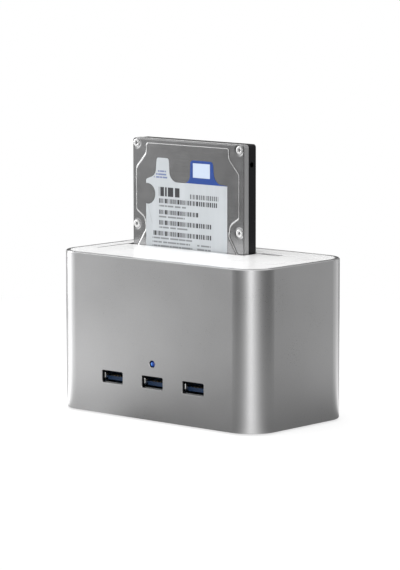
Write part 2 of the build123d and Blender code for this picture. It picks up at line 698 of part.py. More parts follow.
def base_plate():
    """Bottom tray with a rim, standoffs for the board, seats for the feet and slots for air."""
    width = INNER_W - 2 * FIT_GAP
    depth = INNER_D - 2 * FIT_GAP
    corner = INNER_R - FIT_GAP
    tray = plate(width, depth, corner, SLEEVE_Z, BASE_TOP + BASE_RIM_H)
    tray -= plate(
        width - 2 * BASE_RIM_T,
        depth - 2 * BASE_RIM_T,
        corner - BASE_RIM_T,
        BASE_TOP,
        BASE_TOP + BASE_RIM_H,
    )
    head_top = SLEEVE_Z + SCREW_HEAD_SINK + SCREW_HEAD_H
    for x, y in POST_PLACES:
        tray += rod_z(x, y, POST_R, BASE_TOP, BOARD_Z)
        tray -= rod_z(x, y, SCREW_HOLE_R, SLEEVE_Z, BOARD_Z)
        tray -= rod_z(x, y, SCREW_HEAD_R + FIT_GAP, SLEEVE_Z, head_top)
    for x, y in BOARD_SCREW_PLACES:
        tray += rod_z(x, y, POST_R, BASE_TOP, BOARD_Z)
        tray -= rod_z(x, y, SMALL_SCREW_R + GRIP_GAP, BASE_TOP, BOARD_Z)
    for x, y in FOOT_PLACES:
        tray -= rod_z(x, y, FOOT_R + FIT_GAP, SLEEVE_Z, SLEEVE_Z + FOOT_SEAT)
    for index in range(VENT_COUNT):
        y = (index - (VENT_COUNT - 1) / 2) * VENT_PITCH
        tray -= plate(VENT_W, VENT_D, VENT_D / 2 * ROUND_END_SHARE, SLEEVE_Z, BASE_TOP, 0, y)
    return tray


def rubber_foot(x, y):
    """Round pad with a rounded rim, pressed into its seat."""
    pad = rod_z(x, y, FOOT_R, 0, FOOT_SHOW + FOOT_SEAT)
    return chamfer(edges_at(pad, Axis.Z, 0), FOOT_EDGE)


def base_screws():
    """Four long screws up through the base, its standoffs and the board into the posts."""
    z = SLEEVE_Z + SCREW_HEAD_SINK
    length = BOARD_TOP + SCREW_GRIP - z - SCREW_HEAD_H
    return group(screw_up(x, y, z, SCREW_HEAD_R, SCREW_HEAD_H, SCREW_R, length) for x, y in POST_PLACES)


def cover_screws():
    """Four small screws up through the well's ears into the cover's bosses."""
    z = BOSS_Z - WELL_FLOOR - SMALL_HEAD_H
    length = WELL_FLOOR + SMALL_SCREW_GRIP
    return group(screw_up(x, y, z, SMALL_HEAD_R, SMALL_HEAD_H, SMALL_SCREW_R, length) for x, y in BOSS_PLACES)


def board_screws():
    """Small screws that hold the board's front edge down to the base."""
    screws = []
    for x, y in BOARD_SCREW_PLACES:
        length = BOARD_T + SMALL_SCREW_GRIP
        screw = screw_up(x, y, 0, SMALL_HEAD_R, SMALL_HEAD_H, SMALL_SCREW_R, length)
        turned = Pos(x, y, BOARD_TOP + SMALL_HEAD_H) * Rot(180, 0, 0) * Pos(-x, -y, 0)
        screws.append(turned * screw)
    return group(screws)


def main_board():
    """Circuit board, cut for the posts' screws, the socket at the back and the sockets' tabs."""
    width = INNER_W - 2 * BOARD_GAP
    depth = INNER_D - 2 * BOARD_GAP
    board = plate(width, depth, INNER_R - BOARD_GAP, BOARD_Z, BOARD_TOP)
    for x, y in POST_PLACES:
        board -= rod_z(x, y, SCREW_HOLE_R, BOARD_Z, BOARD_TOP)
    for x, y in BOARD_SCREW_PLACES:
        board -= rod_z(x, y, SMALL_SCREW_R + FIT_GAP, BOARD_Z, BOARD_TOP)
    board -= block(
        B_X - B_SHELL_W / 2 - FIT_GAP,
        B_X + B_SHELL_W / 2 + FIT_GAP,
        BACK_Y - FIT_GAP - B_SHELL_L - FIT_GAP,
        BACK_Y,
        BOARD_Z,
        BOARD_TOP,
    )
    for index in range(PORT_COUNT):
        for side in (-1, 1):
            x = port_x(index) + side * (A_SHELL_W - A_SHELL_T) / 2
            y = a_front() + A_TAB_BACK
            reach = A_SHELL_T / 2 + FIT_GAP
            board -= block(
                x - reach, x + reach, y - FIT_GAP, y + A_TAB_W + FIT_GAP, BOARD_Z, BOARD_TOP
            )
    for x in (-LAMP_LEAD_X, LAMP_LEAD_X):
        board -= rod_z(x, LAMP_LEAD_Y, LAMP_LEAD_R + PIN_GAP, BOARD_Z, BOARD_TOP)
    for x, y in jack_leg_places():
        reach = JACK_LEG_W / 2 + FIT_GAP
        thin = JACK_LEG_T / 2 + FIT_GAP
        board -= block(x - reach, x + reach, y - thin, y + thin, BOARD_Z, BOARD_TOP)
    for x, y in switch_pin_places():
        board -= rod_z(x, y, SWITCH_PIN_R + FIT_GAP, BOARD_Z, BOARD_TOP)
    return board


def on_board(shares):
    """Place on the board, from shares of the body's width and depth."""
    across, back = shares
    return BODY_W * across, BODY_D * back


def chip(size, shares):
    """Flat chip with bevelled top and a pin-one dimple."""
    width, depth, height = size
    x, y = on_board(shares)
    body = block(x - width / 2, x + width / 2, y - depth / 2, y + depth / 2, BOARD_TOP, BOARD_TOP + height)
    body = chamfer(edges_at(body, Axis.Z, BOARD_TOP + height), CHIP_BEVEL)
    inset = 2 * PIN_ONE_R
    dimple = rod_z(
        x - width / 2 + inset,
        y - depth / 2 + inset,
        PIN_ONE_R,
        BOARD_TOP + height - PIN_ONE_SINK,
        BOARD_TOP + height,
    )
    return body - dimple


def crystal(x, y):
    """Flat metal can with round ends."""
    end_r = CRYSTAL_W / 2 * ROUND_END_SHARE
    return plate(CRYSTAL_L, CRYSTAL_W, end_r, BOARD_TOP, BOARD_TOP + CRYSTAL_H, x, y)


def inductor(x, y):
    """Square choke with clipped corners and a round core in its top."""
    half = INDUCTOR_SIDE / 2
    top = BOARD_TOP + INDUCTOR_H
    choke = block(x - half, x + half, y - half, y + half, BOARD_TOP, top)
    choke = chamfer(choke.edges().filter_by(Axis.Z), INDUCTOR_CORNER)
    ring = rod_z(x, y, INDUCTOR_CORE_R, top - INDUCTOR_CORE_SINK, top)
    ring -= rod_z(x, y, INDUCTOR_CORE_R - INDUCTOR_CORE_SINK, top - INDUCTOR_CORE_SINK, top)
    return choke - ring


def capacitor(x, y):
    """Round can on a square foot, drawn in above the foot."""
    foot_top = BOARD_TOP + CAPACITOR_FOOT_H
    neck_top = foot_top + CAPACITOR_NECK_H
    can = block(
        x - CAPACITOR_R, x + CAPACITOR_R, y - CAPACITOR_R, y + CAPACITOR_R, BOARD_TOP, foot_top
    )
    can += rod_z(x, y, CAPACITOR_NECK_R, foot_top, neck_top)
    return can + rod_z(x, y, CAPACITOR_R, neck_top, BOARD_TOP + CAPACITOR_H)


def port_x(index):
    """Middle of a front socket."""
    return (index - (PORT_COUNT - 1) / 2) * PORT_PITCH


def a_front():
    """Front plane of the sockets, in the pockets of the sleeve's wall."""
    return FRONT_Y + SLEEVE_WALL - PORT_POCKET + FIT_GAP


def port_shell(index):
    """Folded metal shell of a front socket, with its two windows and its tabs."""
    x = port_x(index)
    front = a_front()
    half_w = A_SHELL_W / 2
    half_h = A_SHELL_H / 2
    shell = block(x - half_w, x + half_w, front, front + A_SHELL_L, PORT_Z - half_h, PORT_Z + half_h)
    shell -= block(
        x - half_w + A_SHELL_T,
        x + half_w - A_SHELL_T,
        front,
        front + A_SHELL_L,
        PORT_Z - half_h + A_SHELL_T,
        PORT_Z + half_h - A_SHELL_T,
    )
    for side in (-1, 1):
        window_x = x + side * A_WINDOW_SPACING / 2
        shell -= block(
            window_x - A_WINDOW_W / 2,
            window_x + A_WINDOW_W / 2,
            front + A_WINDOW_BACK,
            front + A_WINDOW_BACK + A_WINDOW_L,
            PORT_Z,
            PORT_Z + half_h,
        )
        tab_x = x + side * (A_SHELL_W - A_SHELL_T) / 2
        tab_y = front + A_TAB_BACK
        shell += block(
            tab_x - A_SHELL_T / 2,
            tab_x + A_SHELL_T / 2,
            tab_y,
            tab_y + A_TAB_W,
            BOARD_TOP - A_TAB_H,
            BOARD_TOP + A_SHELL_T,
        )
    return shell


def tongue_z():
    """Underside of a front socket's tongue."""
    return PORT_Z - A_SHELL_H / 2 + A_SHELL_T + A_TONGUE_LIFT


def port_tongue(index):
    """Plastic block at the back of a front socket, with the tongue that reaches forwards."""
    x = port_x(index)
    front = a_front()
    back = front + A_SHELL_L
    half_w = A_SHELL_W / 2 - A_SHELL_T
    half_h = A_SHELL_H / 2 - A_SHELL_T
    body = block(x - half_w, x + half_w, back - A_BLOCK_L, back, PORT_Z - half_h, PORT_Z + half_h)
    z = tongue_z()
    body += block(
        x - A_TONGUE_W / 2,
        x + A_TONGUE_W / 2,
        front + A_TONGUE_BACK,
        back - A_BLOCK_L,
        z,
        z + A_TONGUE_T,
    )
    return body


def port_contacts(index):
    """Contacts of a front socket: four long strips and five short ones at the tongue's tip."""
    x = port_x(index)
    front = a_front()
    z = tongue_z() + A_TONGUE_T
    strips = []
    for share in A_CONTACT_SHARES:
        middle = x + A_TONGUE_W * share
        y = front + A_CONTACT_BACK
        strips.append(strip(middle, A_CONTACT_W, y, y + A_CONTACT_L, z, z + A_CONTACT_T))
    for share in A_FAST_CONTACT_SHARES:
        middle = x + A_TONGUE_W * share
        y = front + A_FAST_CONTACT_BACK
        strips.append(strip(middle, A_FAST_CONTACT_W, y, y + A_FAST_CONTACT_L, z, z + A_CONTACT_T))
    return group(strips)


def b_socket_shell():
    """Square metal shell of the back socket."""
    y0 = BACK_Y - FIT_GAP - B_SHELL_L
    y1 = BACK_Y - FIT_GAP
    half = B_SHELL_W / 2
    shell = block(B_X - half, B_X + half, y0, y1, B_Z, B_Z + B_SHELL_H)
    inner = half - B_SHELL_T
    return shell - block(B_X - inner, B_X + inner, y0, y1, B_Z + B_SHELL_T, B_Z + B_SHELL_H - B_SHELL_T)


def b_socket_core():
    """Plastic core of the back socket: a house-shaped mouth with a second mouth on its roof."""
    y0 = BACK_Y - FIT_GAP - B_SHELL_L
    y1 = BACK_Y - FIT_GAP
    half = B_SHELL_W / 2 - B_SHELL_T
    core = block(B_X - half, B_X + half, y0, y1, B_Z + B_SHELL_T, B_Z + B_SHELL_H - B_SHELL_T)
    low = B_Z + B_SHELL_T + B_MOUTH_LIFT
    roof = low + B_MOUTH_H
    outline = Polyline(
        (-B_MOUTH_W / 2, low),
        (B_MOUTH_W / 2, low),
        (B_MOUTH_W / 2, roof - B_MOUTH_CUT),
        (B_MOUTH_W / 2 - B_MOUTH_CUT, roof),
        (B_CROWN_W / 2, roof),
        (B_CROWN_W / 2, roof + B_CROWN_H),
        (-B_CROWN_W / 2, roof + B_CROWN_H),
        (-B_CROWN_W / 2, roof),
        (-B_MOUTH_W / 2 + B_MOUTH_CUT, roof),
        (-B_MOUTH_W / 2, roof - B_MOUTH_CUT),
        close=True,
    )
    facing_back = Plane(origin=(B_X, y1, 0), x_dir=(1, 0, 0), z_dir=(0, -1, 0))
    core -= extrude(facing_back * make_face(outline), B_MOUTH_DEPTH)
    tongue_front = y1 - B_TONGUE_BACK
    z = low + B_TONGUE_LIFT
    core += strip(B_X, B_TONGUE_W, y1 - B_MOUTH_DEPTH, tongue_front, z, z + B_TONGUE_T)
    z = roof + B_CROWN_TONGUE_LIFT
    core += strip(B_X, B_CROWN_TONGUE_W, y1 - B_MOUTH_DEPTH, tongue_front, z, z + B_CROWN_TONGUE_T)
    return core


def b_socket_contacts():
    """Contacts of the back socket: two above and two below the tongue, five in the crown."""
    low = B_Z + B_SHELL_T + B_MOUTH_LIFT
    y1 = BACK_Y - FIT_GAP - B_TONGUE_BACK - B_CONTACT_W
    y0 = y1 - B_CONTACT_L
    strips = []
    for share in B_CONTACT_SHARES:
        x = B_X + B_TONGUE_W * share
        above = low + B_TONGUE_LIFT + B_TONGUE_T
        below = low + B_TONGUE_LIFT - B_CONTACT_T
        strips.append(strip(x, B_CONTACT_W, y0, y1, above, above + B_CONTACT_T))
        strips.append(strip(x, B_CONTACT_W, y0, y1, below, below + B_CONTACT_T))
    for share in B_FAST_CONTACT_SHARES:
        x = B_X + B_CROWN_TONGUE_W * share
        below = low + B_MOUTH_H + B_CROWN_TONGUE_LIFT - B_CONTACT_T
        strips.append(strip(x, B_FAST_CONTACT_W, y0, y1, below, below + B_CONTACT_T))
    return group(strips)


def jack_leg_places():
    """Where the power inlet's three legs go through the board."""
    back = BACK_Y - SLEEVE_WALL - FIT_GAP
    inset = JACK_LEG_W
    side_leg = (JACK_X + JACK_W / 2 - inset, back - JACK_L / 2)
    return [(JACK_X, back - JACK_L + inset), (JACK_X, back - inset), side_leg]


def power_jack():
    """Moulded power inlet: a square body with a round nose through the sleeve."""
    front = BACK_Y - SLEEVE_WALL - FIT_GAP
    body = block(
        JACK_X - JACK_W / 2,
        JACK_X + JACK_W / 2,
        front - JACK_L,
        front,
        BOARD_TOP,
        BOARD_TOP + JACK_H,
    )
    body += rod_y(JACK_X, JACK_Z, JACK_NOSE_R, front, BACK_Y)
    return body - rod_y(JACK_X, JACK_Z, JACK_BORE_R, BACK_Y - JACK_BORE_L, BACK_Y)


def power_jack_pin():
    """Middle contact of the power inlet, with a round tip."""
    tip = BACK_Y - JACK_PIN_BACK
    pin = rod_y(JACK_X, JACK_Z, JACK_PIN_R, BACK_Y - JACK_BORE_L, tip)
    return fillet(edges_at(pin, Axis.Y, tip), JACK_PIN_R * SOCKET_SHARE)


def power_jack_contacts():
    """Side contact in the power inlet's bore and the three legs under its body."""
    low = JACK_Z - JACK_BORE_R + JACK_CONTACT_T
    y0 = BACK_Y - JACK_BORE_L
    y1 = BACK_Y - 2 * JACK_PIN_BACK
    spring = strip(JACK_X, JACK_CONTACT_W, y0, y1, low, low + JACK_CONTACT_T)
    legs = []
    for x, y in jack_leg_places():
        legs.append(
            block(
                x - JACK_LEG_W / 2,
                x + JACK_LEG_W / 2,
                y - JACK_LEG_T / 2,
                y + JACK_LEG_T / 2,
                BOARD_TOP - JACK_LEG_H,
                BOARD_TOP,
            )
        )
    return group([spring] + legs)


def switch_front():
    """Front plane of the power switch, behind the button at the end of its travel."""
    return BACK_Y - BUTTON_CAP_L - BUTTON_TRAVEL - MOVE_GAP


def switch_pin_places():
    """Where the power switch's pins go through the board."""
    middle = switch_front() - SWITCH_L / 2
    rows = (-SWITCH_SIDE * SOCKET_SHARE / 2, SWITCH_SIDE * SOCKET_SHARE / 2)
    return [(BUTTON_X + row, middle + SWITCH_L * share) for row in rows for share in SWITCH_PIN_SHARES]


def power_switch():
    """Square switch body, open at the front for the button's stem, with six pins."""
    half = SWITCH_SIDE / 2
    front = switch_front()
    body = block(
        BUTTON_X - half, BUTTON_X + half, front - SWITCH_L, front, BOARD_TOP, BOARD_TOP + SWITCH_SIDE
    )
    stem = PLUNGER_SIDE / 2 + MOVE_GAP
    depth = PLUNGER_L + MOVE_GAP
    body -= block(
        BUTTON_X - stem, BUTTON_X + stem, front - depth, front, BUTTON_Z - stem, BUTTON_Z + stem
    )
    for x, y in switch_pin_places():
        body += rod_z(x, y, SWITCH_PIN_R, BOARD_TOP - SWITCH_PIN_H, BOARD_TOP)
    return body


def power_button():
    """Round button, flush with the back of the sleeve, on a square stem."""
    cap = rod_y(BUTTON_X, BUTTON_Z, BUTTON_R, BACK_Y - BUTTON_CAP_L, BACK_Y)
    cap = fillet(edges_at(cap, Axis.Y, BACK_Y), BUTTON_EDGE)
    half = PLUNGER_SIDE / 2
    back = BACK_Y - BUTTON_CAP_L
    reach = MOVE_GAP + PLUNGER_L
    return cap + block(BUTTON_X - half, BUTTON_X + half, back - reach, back, BUTTON_Z - half, BUTTON_Z + half)


def status_lamp():
    """Small round lamp with a domed end in the sleeve's hole and a flange at its foot."""
    foot = FRONT_Y + LAMP_L
    barrel = rod_y(0, LAMP_Z, LAMP_R, FRONT_Y, foot)
    barrel = fillet(edges_at(barrel, Axis.Y, FRONT_Y), LAMP_R * LAMP_DOME_SHARE)
    return barrel + rod_y(0, LAMP_Z, LAMP_FLANGE_R, foot - LAMP_FLANGE_T, foot)


def lamp_leads():
    """Two wires from the lamp's foot, over the middle socket and down to the board."""
    leads = []
    for x in (-LAMP_LEAD_X, LAMP_LEAD_X):
        path = FilletPolyline(
            (x, FRONT_Y + LAMP_L, LAMP_Z),
            (x, LAMP_LEAD_Y, LAMP_Z),
            (x, LAMP_LEAD_Y, BOARD_Z - LAMP_R),
            radius=LAMP_LEAD_BEND,
        )
        start = Plane(origin=path @ 0, z_dir=path % 0)
        leads.append(sweep(start * Circle(LAMP_LEAD_R), path))
    return group(leads)


def segment_widths():
    """Widths of the power and the data contacts' rows."""
    return POWER_CONTACTS * DOCK_CONTACT_PITCH, DATA_CONTACTS * DOCK_CONTACT_PITCH


def segment_middles():
    """Middles of the power and the data rows, along X."""
    power, data = segment_widths()
    left = DOCK_X - (power + SEGMENT_GAP + data) / 2
    return left + power / 2, left + power + SEGMENT_GAP + data / 2


def contact_places():
    """Middle of every contact along X, power row first."""
    places = []
    for middle, count in zip(segment_middles(), (POWER_CONTACTS, DATA_CONTACTS)):
        places += [middle + (index - (count - 1) / 2) * DOCK_CONTACT_PITCH for index in range(count)]
    return places


def dock_connector():
    """Upright connector on the board: a foot, and a blade with two keyed slots."""
    top = DRIVE_Z + DOCK_REACH
    foot_top = BOARD_TOP + DOCK_BASE_H
    body = block(
        DOCK_X - DOCK_BASE_W / 2,
        DOCK_X + DOCK_BASE_W / 2,
        DOCK_Y - DOCK_BASE_D / 2,
        DOCK_Y + DOCK_BASE_D / 2,
        BOARD_TOP,
        foot_top,
    )
    body += block(
        DOCK_X - DOCK_PLUG_W / 2,
        DOCK_X + DOCK_PLUG_W / 2,
        DOCK_Y - DOCK_PLUG_D / 2,
        DOCK_Y + DOCK_PLUG_D / 2,
        foot_top,
        top,
    )
    low = top - DOCK_SLOT_DEPTH
    for middle, width, hand in zip(segment_middles(), segment_widths(), (-1, 1)):
        half = width / 2 + MOVE_GAP
        slot_half = DOCK_SLOT_D / 2
        slot = strip(middle, 2 * half, DOCK_Y - slot_half, DOCK_Y + slot_half, low, top)
        end = middle + hand * half
        inner, outer = sorted((end, end - hand * DOCK_KEY_W))
        slot += block(inner, outer, DOCK_Y, DOCK_Y + slot_half + DOCK_KEY_D, low, top)
        body -= slot
    return body


def dock_contacts():
    """Contact strips that lie along the front wall of the slots."""
    top = DRIVE_Z + DOCK_REACH - DOCK_CONTACT_W
    low = DRIVE_Z + DOCK_REACH - DOCK_SLOT_DEPTH
    y = DOCK_Y - DOCK_SLOT_D / 2
    return group(strip(x, DOCK_CONTACT_W, y, y + DOCK_CONTACT_T, low, top) for x in contact_places())


def drive_point(across, down):
    """Point on the drive's face: across from its left edge and down from its top."""
    return (DRIVE_LEFT_X + across, DRIVE_TOP - down)


def facing_front(y):
    """Upright plane that faces the front, at a given Y."""
    return Plane(origin=(0, y, 0), x_dir=(1, 0, 0), z_dir=(0, -1, 0))


def upright_plate(width, height, corner_r, y0, y1):
    """Plate in the drive's outline, from its front plane to its back plane."""
    middle = Pos(DRIVE_MID_X, DRIVE_Z + DRIVE_L / 2)
    outline = facing_front(y1) * middle * RectangleRounded(width, height, corner_r)
    return extrude(outline, y1 - y0)


def drive_casting():
    """Cast base of the drive: flange, waist, round bumps, mounting holes and recesses."""
    cover_back = DRIVE_FRONT_Y + DRIVE_PLATEAU_T + DRIVE_COVER_T
    flange_back = cover_back + DRIVE_FLANGE_T
    casting = upright_plate(DRIVE_W, DRIVE_L, DRIVE_CORNER_R, cover_back, flange_back)
    waist_w = DRIVE_W - 2 * DRIVE_WAIST
    waist_l = DRIVE_L - 2 * DRIVE_WAIST
    casting += upright_plate(waist_w, waist_l, DRIVE_CORNER_R, flange_back, DRIVE_BACK_Y)
    sink_y = DRIVE_BACK_Y - DRIVE_BACK_SINK
    pocket_w = DRIVE_W - 2 * DRIVE_RIM_T
    pocket_l = DRIVE_L - 2 * DRIVE_RIM_T
    casting -= upright_plate(pocket_w, pocket_l, DRIVE_CORNER_R, sink_y, DRIVE_BACK_Y)
    motor_z = DRIVE_TOP - MOTOR_DOWN
    bump_r = MOTOR_DOWN - BUMP_INSET
    casting += rod_y(DRIVE_MID_X, motor_z, bump_r, sink_y - BUMP_H, sink_y + BUMP_H)
    ring = rod_y(DRIVE_MID_X, motor_z, MOTOR_R, sink_y + BUMP_H - MOTOR_GROOVE_DEPTH, DRIVE_BACK_Y)
    ring -= rod_y(DRIVE_MID_X, motor_z, MOTOR_R - MOTOR_GROOVE_W, sink_y, DRIVE_BACK_Y)
    casting -= ring
    for x, z in drive_board_screw_places():
        casting += rod_y(x, z, DRIVE_BOARD_SCREW_R, sink_y - BUMP_H, sink_y)
    hole_y = DRIVE_BACK_Y - SIDE_HOLE_FROM_BACK
    for up in MOUNT_HOLES_UP:
        z = DRIVE_Z + up
        casting -= rod_x(hole_y, z, SIDE_HOLE_R, DRIVE_LEFT_X, DRIVE_LEFT_X + SIDE_HOLE_DEPTH)
        casting -= rod_x(hole_y, z, SIDE_HOLE_R, DRIVE_RIGHT_X - SIDE_HOLE_DEPTH, DRIVE_RIGHT_X)
    casting -= block(
        DOCK_X - PLUG_W / 2,
        DOCK_X + PLUG_W / 2,
        DOCK_Y - PLUG_MOUTH_D / 2 - PLUG_WALL,
        DRIVE_BACK_Y,
        DRIVE_Z,
        DRIVE_Z + PLUG_L,
    )
    board = drive_board_outline(sink_y, DRIVE_BACK_Y, FIT_GAP)
    return casting - board


def drive_board_outline(y0, y1, gap):
    """Outline of the drive's board as a solid: clipped upper corners and a bay for the motor."""
    width = DRIVE_W - 2 * DRIVE_RIM_T - 2 * FIT_GAP + 2 * gap
    half = width / 2
    low = DRIVE_Z + DRIVE_RIM_T + FIT_GAP - gap
    high = low + DRIVE_BOARD_H + 2 * gap
    outline = Polyline(
        (DRIVE_MID_X - half, low),
        (DRIVE_MID_X + half, low),
        (DRIVE_MID_X + half, high - DRIVE_BOARD_CHAMFER),
        (DRIVE_MID_X + half - DRIVE_BOARD_CHAMFER, high),
        (DRIVE_MID_X - half + DRIVE_BOARD_CHAMFER, high),
        (DRIVE_MID_X - half, high - DRIVE_BOARD_CHAMFER),
        close=True,
    )
    solid = extrude(facing_front(y1) * make_face(outline), y1 - y0)
    bay_r = MOTOR_R + MOTOR_GROOVE_W + FIT_GAP - gap
    return solid - rod_y(DRIVE_MID_X, DRIVE_TOP - MOTOR_DOWN, bay_r, y0, y1)


def drive_board_screw_places():
    """Places of the screws in the drive's board, as X and Z."""
    inset = DRIVE_RIM_T + DRIVE_BOARD_SCREW_INSET
    low = DRIVE_Z + PLUG_L + DRIVE_BOARD_SCREW_INSET
    high = DRIVE_Z + DRIVE_RIM_T + DRIVE_BOARD_H - DRIVE_BOARD_CHAMFER - DRIVE_BOARD_SCREW_INSET
    left = DRIVE_LEFT_X + inset
    right = DRIVE_RIGHT_X - inset
    return [(left, low), (right, low), (left, high), (right, high)]


def drive_board():
    """Circuit board on the drive's back, with a hole for each screw and for the connector."""
    back = DRIVE_BACK_Y - FIT_GAP
    board = drive_board_outline(back - DRIVE_BOARD_T, back, 0)
    board -= block(
        DOCK_X - PLUG_W / 2 - FIT_GAP,
        DOCK_X + PLUG_W / 2 + FIT_GAP,
        DRIVE_FRONT_Y,
        DRIVE_BACK_Y,
        DRIVE_Z,
        DRIVE_Z + PLUG_L + FIT_GAP,
    )
    return board


def drive_cover_screw_places():
    """Places of the cover's screws: across and down."""
    sides = (COVER_SCREW_INSET, DRIVE_W - COVER_SCREW_INSET)
    return [(across, DRIVE_L * share) for share in COVER_SCREW_DOWN_SHARES for across in sides]


def drive_cover():
    """Stamped lid of the drive with its raised middle and a seat for each screw."""
    plateau_back = DRIVE_FRONT_Y + DRIVE_PLATEAU_T
    width = DRIVE_W - 2 * DRIVE_COVER_INSET
    length = DRIVE_L - 2 * DRIVE_COVER_INSET
    corner = DRIVE_CORNER_R - DRIVE_COVER_INSET
    lid = upright_plate(width, length, corner, plateau_back, plateau_back + DRIVE_COVER_T)
    half = DRIVE_W / 2
    right = [drive_point(half + DRIVE_W * out, DRIVE_L * down) for out, down in PLATEAU_SHARES]
    left = [drive_point(half - DRIVE_W * out, DRIVE_L * down) for out, down in reversed(PLATEAU_SHARES)]
    outline = make_face(Polyline(*right, *left, close=True))
    outline = fillet(outline.vertices(), DRIVE_PLATEAU_R)
    raised = extrude(facing_front(plateau_back) * outline, DRIVE_PLATEAU_T)
    raised = chamfer(edges_at(raised, Axis.Y, DRIVE_FRONT_Y), DRIVE_PLATEAU_DOME)
    return lid + raised


def drive_cover_screws():
    """Six flat screws in the drive's lid."""
    y1 = DRIVE_FRONT_Y + DRIVE_PLATEAU_T
    y0 = y1 - COVER_SCREW_H
    screws = []
    for across, down in drive_cover_screw_places():
        x, z = drive_point(across, down)
        head = rod_y(x, z, COVER_SCREW_R, y0, y1)
        head = chamfer(edges_at(head, Axis.Y, y0), COVER_SCREW_H * SOCKET_SHARE)
        socket = extrude(
            facing_front(y0 + COVER_SCREW_SOCKET_DEPTH)
            * Pos(x, z)
            * RegularPolygon(COVER_SCREW_SOCKET_R, 6),
            COVER_SCREW_SOCKET_DEPTH,
        )
        screws.append(head - socket)
    return group(screws)


def drive_label():
    """Paper label on the drive's lid, with two tabs at its top and a round bite on its left."""
    corners = [drive_point(DRIVE_W * across, DRIVE_L * down) for across, down, _ in LABEL_SHARES]
    outline = make_face(Polyline(*corners, close=True))
    for corner, (_, _, round_share) in zip(corners, LABEL_SHARES):
        vertex = outline.vertices().sort_by_distance(corner)[0]
        outline = fillet(vertex, DRIVE_W * round_share)
    across, down = LABEL_NOTCH_SHARES
    outline -= Pos(*drive_point(DRIVE_W * across, DRIVE_L * down)) * Circle(LABEL_NOTCH_R)
    return extrude(facing_front(DRIVE_FRONT_Y) * outline, LABEL_T)


def drive_board_chips():
    """Thin chips and pads on the outer side of the drive's board."""
    width, length, height = DRIVE_CHIP
    chips = []
    for across, up in DRIVE_CHIP_AT_SHARES:
        x = DRIVE_LEFT_X + DRIVE_W * across
        z = DRIVE_Z + DRIVE_BOARD_H * up
        y = DRIVE_BACK_Y - FIT_GAP
        chips.append(block(x - width / 2, x + width / 2, y, y + height, z - length / 2, z + length / 2))
    return group(chips)


def drive_board_screws():
    """Four flat screws in the drive's board."""
    y0 = DRIVE_BACK_Y - FIT_GAP
    screws = []
    for x, z in drive_board_screw_places():
        head = rod_y(x, z, DRIVE_BOARD_SCREW_R, y0, y0 + DRIVE_BOARD_SCREW_H)
        screws.append(head)
    return group(screws)


def drive_plug():
    """Connector in the drive's lower end: a shroud round a keyed tongue."""
    y0 = DOCK_Y - PLUG_MOUTH_D / 2 - PLUG_WALL
    y1 = DOCK_Y + PLUG_MOUTH_D / 2 + PLUG_WALL
    body = block(DOCK_X - PLUG_W / 2, DOCK_X + PLUG_W / 2, y0, y1, DRIVE_Z, DRIVE_Z + PLUG_L)
    body -= block(
        DOCK_X - PLUG_MOUTH_W / 2,
        DOCK_X + PLUG_MOUTH_W / 2,
        DOCK_Y - PLUG_MOUTH_D / 2,
        DOCK_Y + PLUG_MOUTH_D / 2,
        DRIVE_Z,
        DRIVE_Z + PLUG_MOUTH_DEPTH,
    )
    low = DRIVE_Z + PLUG_TONGUE_BACK
    high = DRIVE_Z + PLUG_MOUTH_DEPTH
    half_t = PLUG_TONGUE_T / 2
    for middle, width, hand in zip(segment_middles(), segment_widths(), (-1, 1)):
        body += block(middle - width / 2, middle + width / 2, DOCK_Y - half_t, DOCK_Y + half_t, low, high)
        end = middle + hand * width / 2
        inner, outer = sorted((end, end - hand * (DOCK_KEY_W - 2 * MOVE_GAP)))
        body += block(inner, outer, DOCK_Y, DOCK_Y + half_t + DOCK_KEY_D, low, high)
    return body


def drive_plug_contacts():
    """Contact strips on the front of the tongue."""
    y1 = DOCK_Y - PLUG_TONGUE_T / 2
    high = DRIVE_Z + PLUG_MOUTH_DEPTH
    width = DOCK_CONTACT_W
    return group(
        strip(x, width, y1 - PLUG_CONTACT_T, y1, high - PLUG_CONTACT_L, high) for x in contact_places()
    )


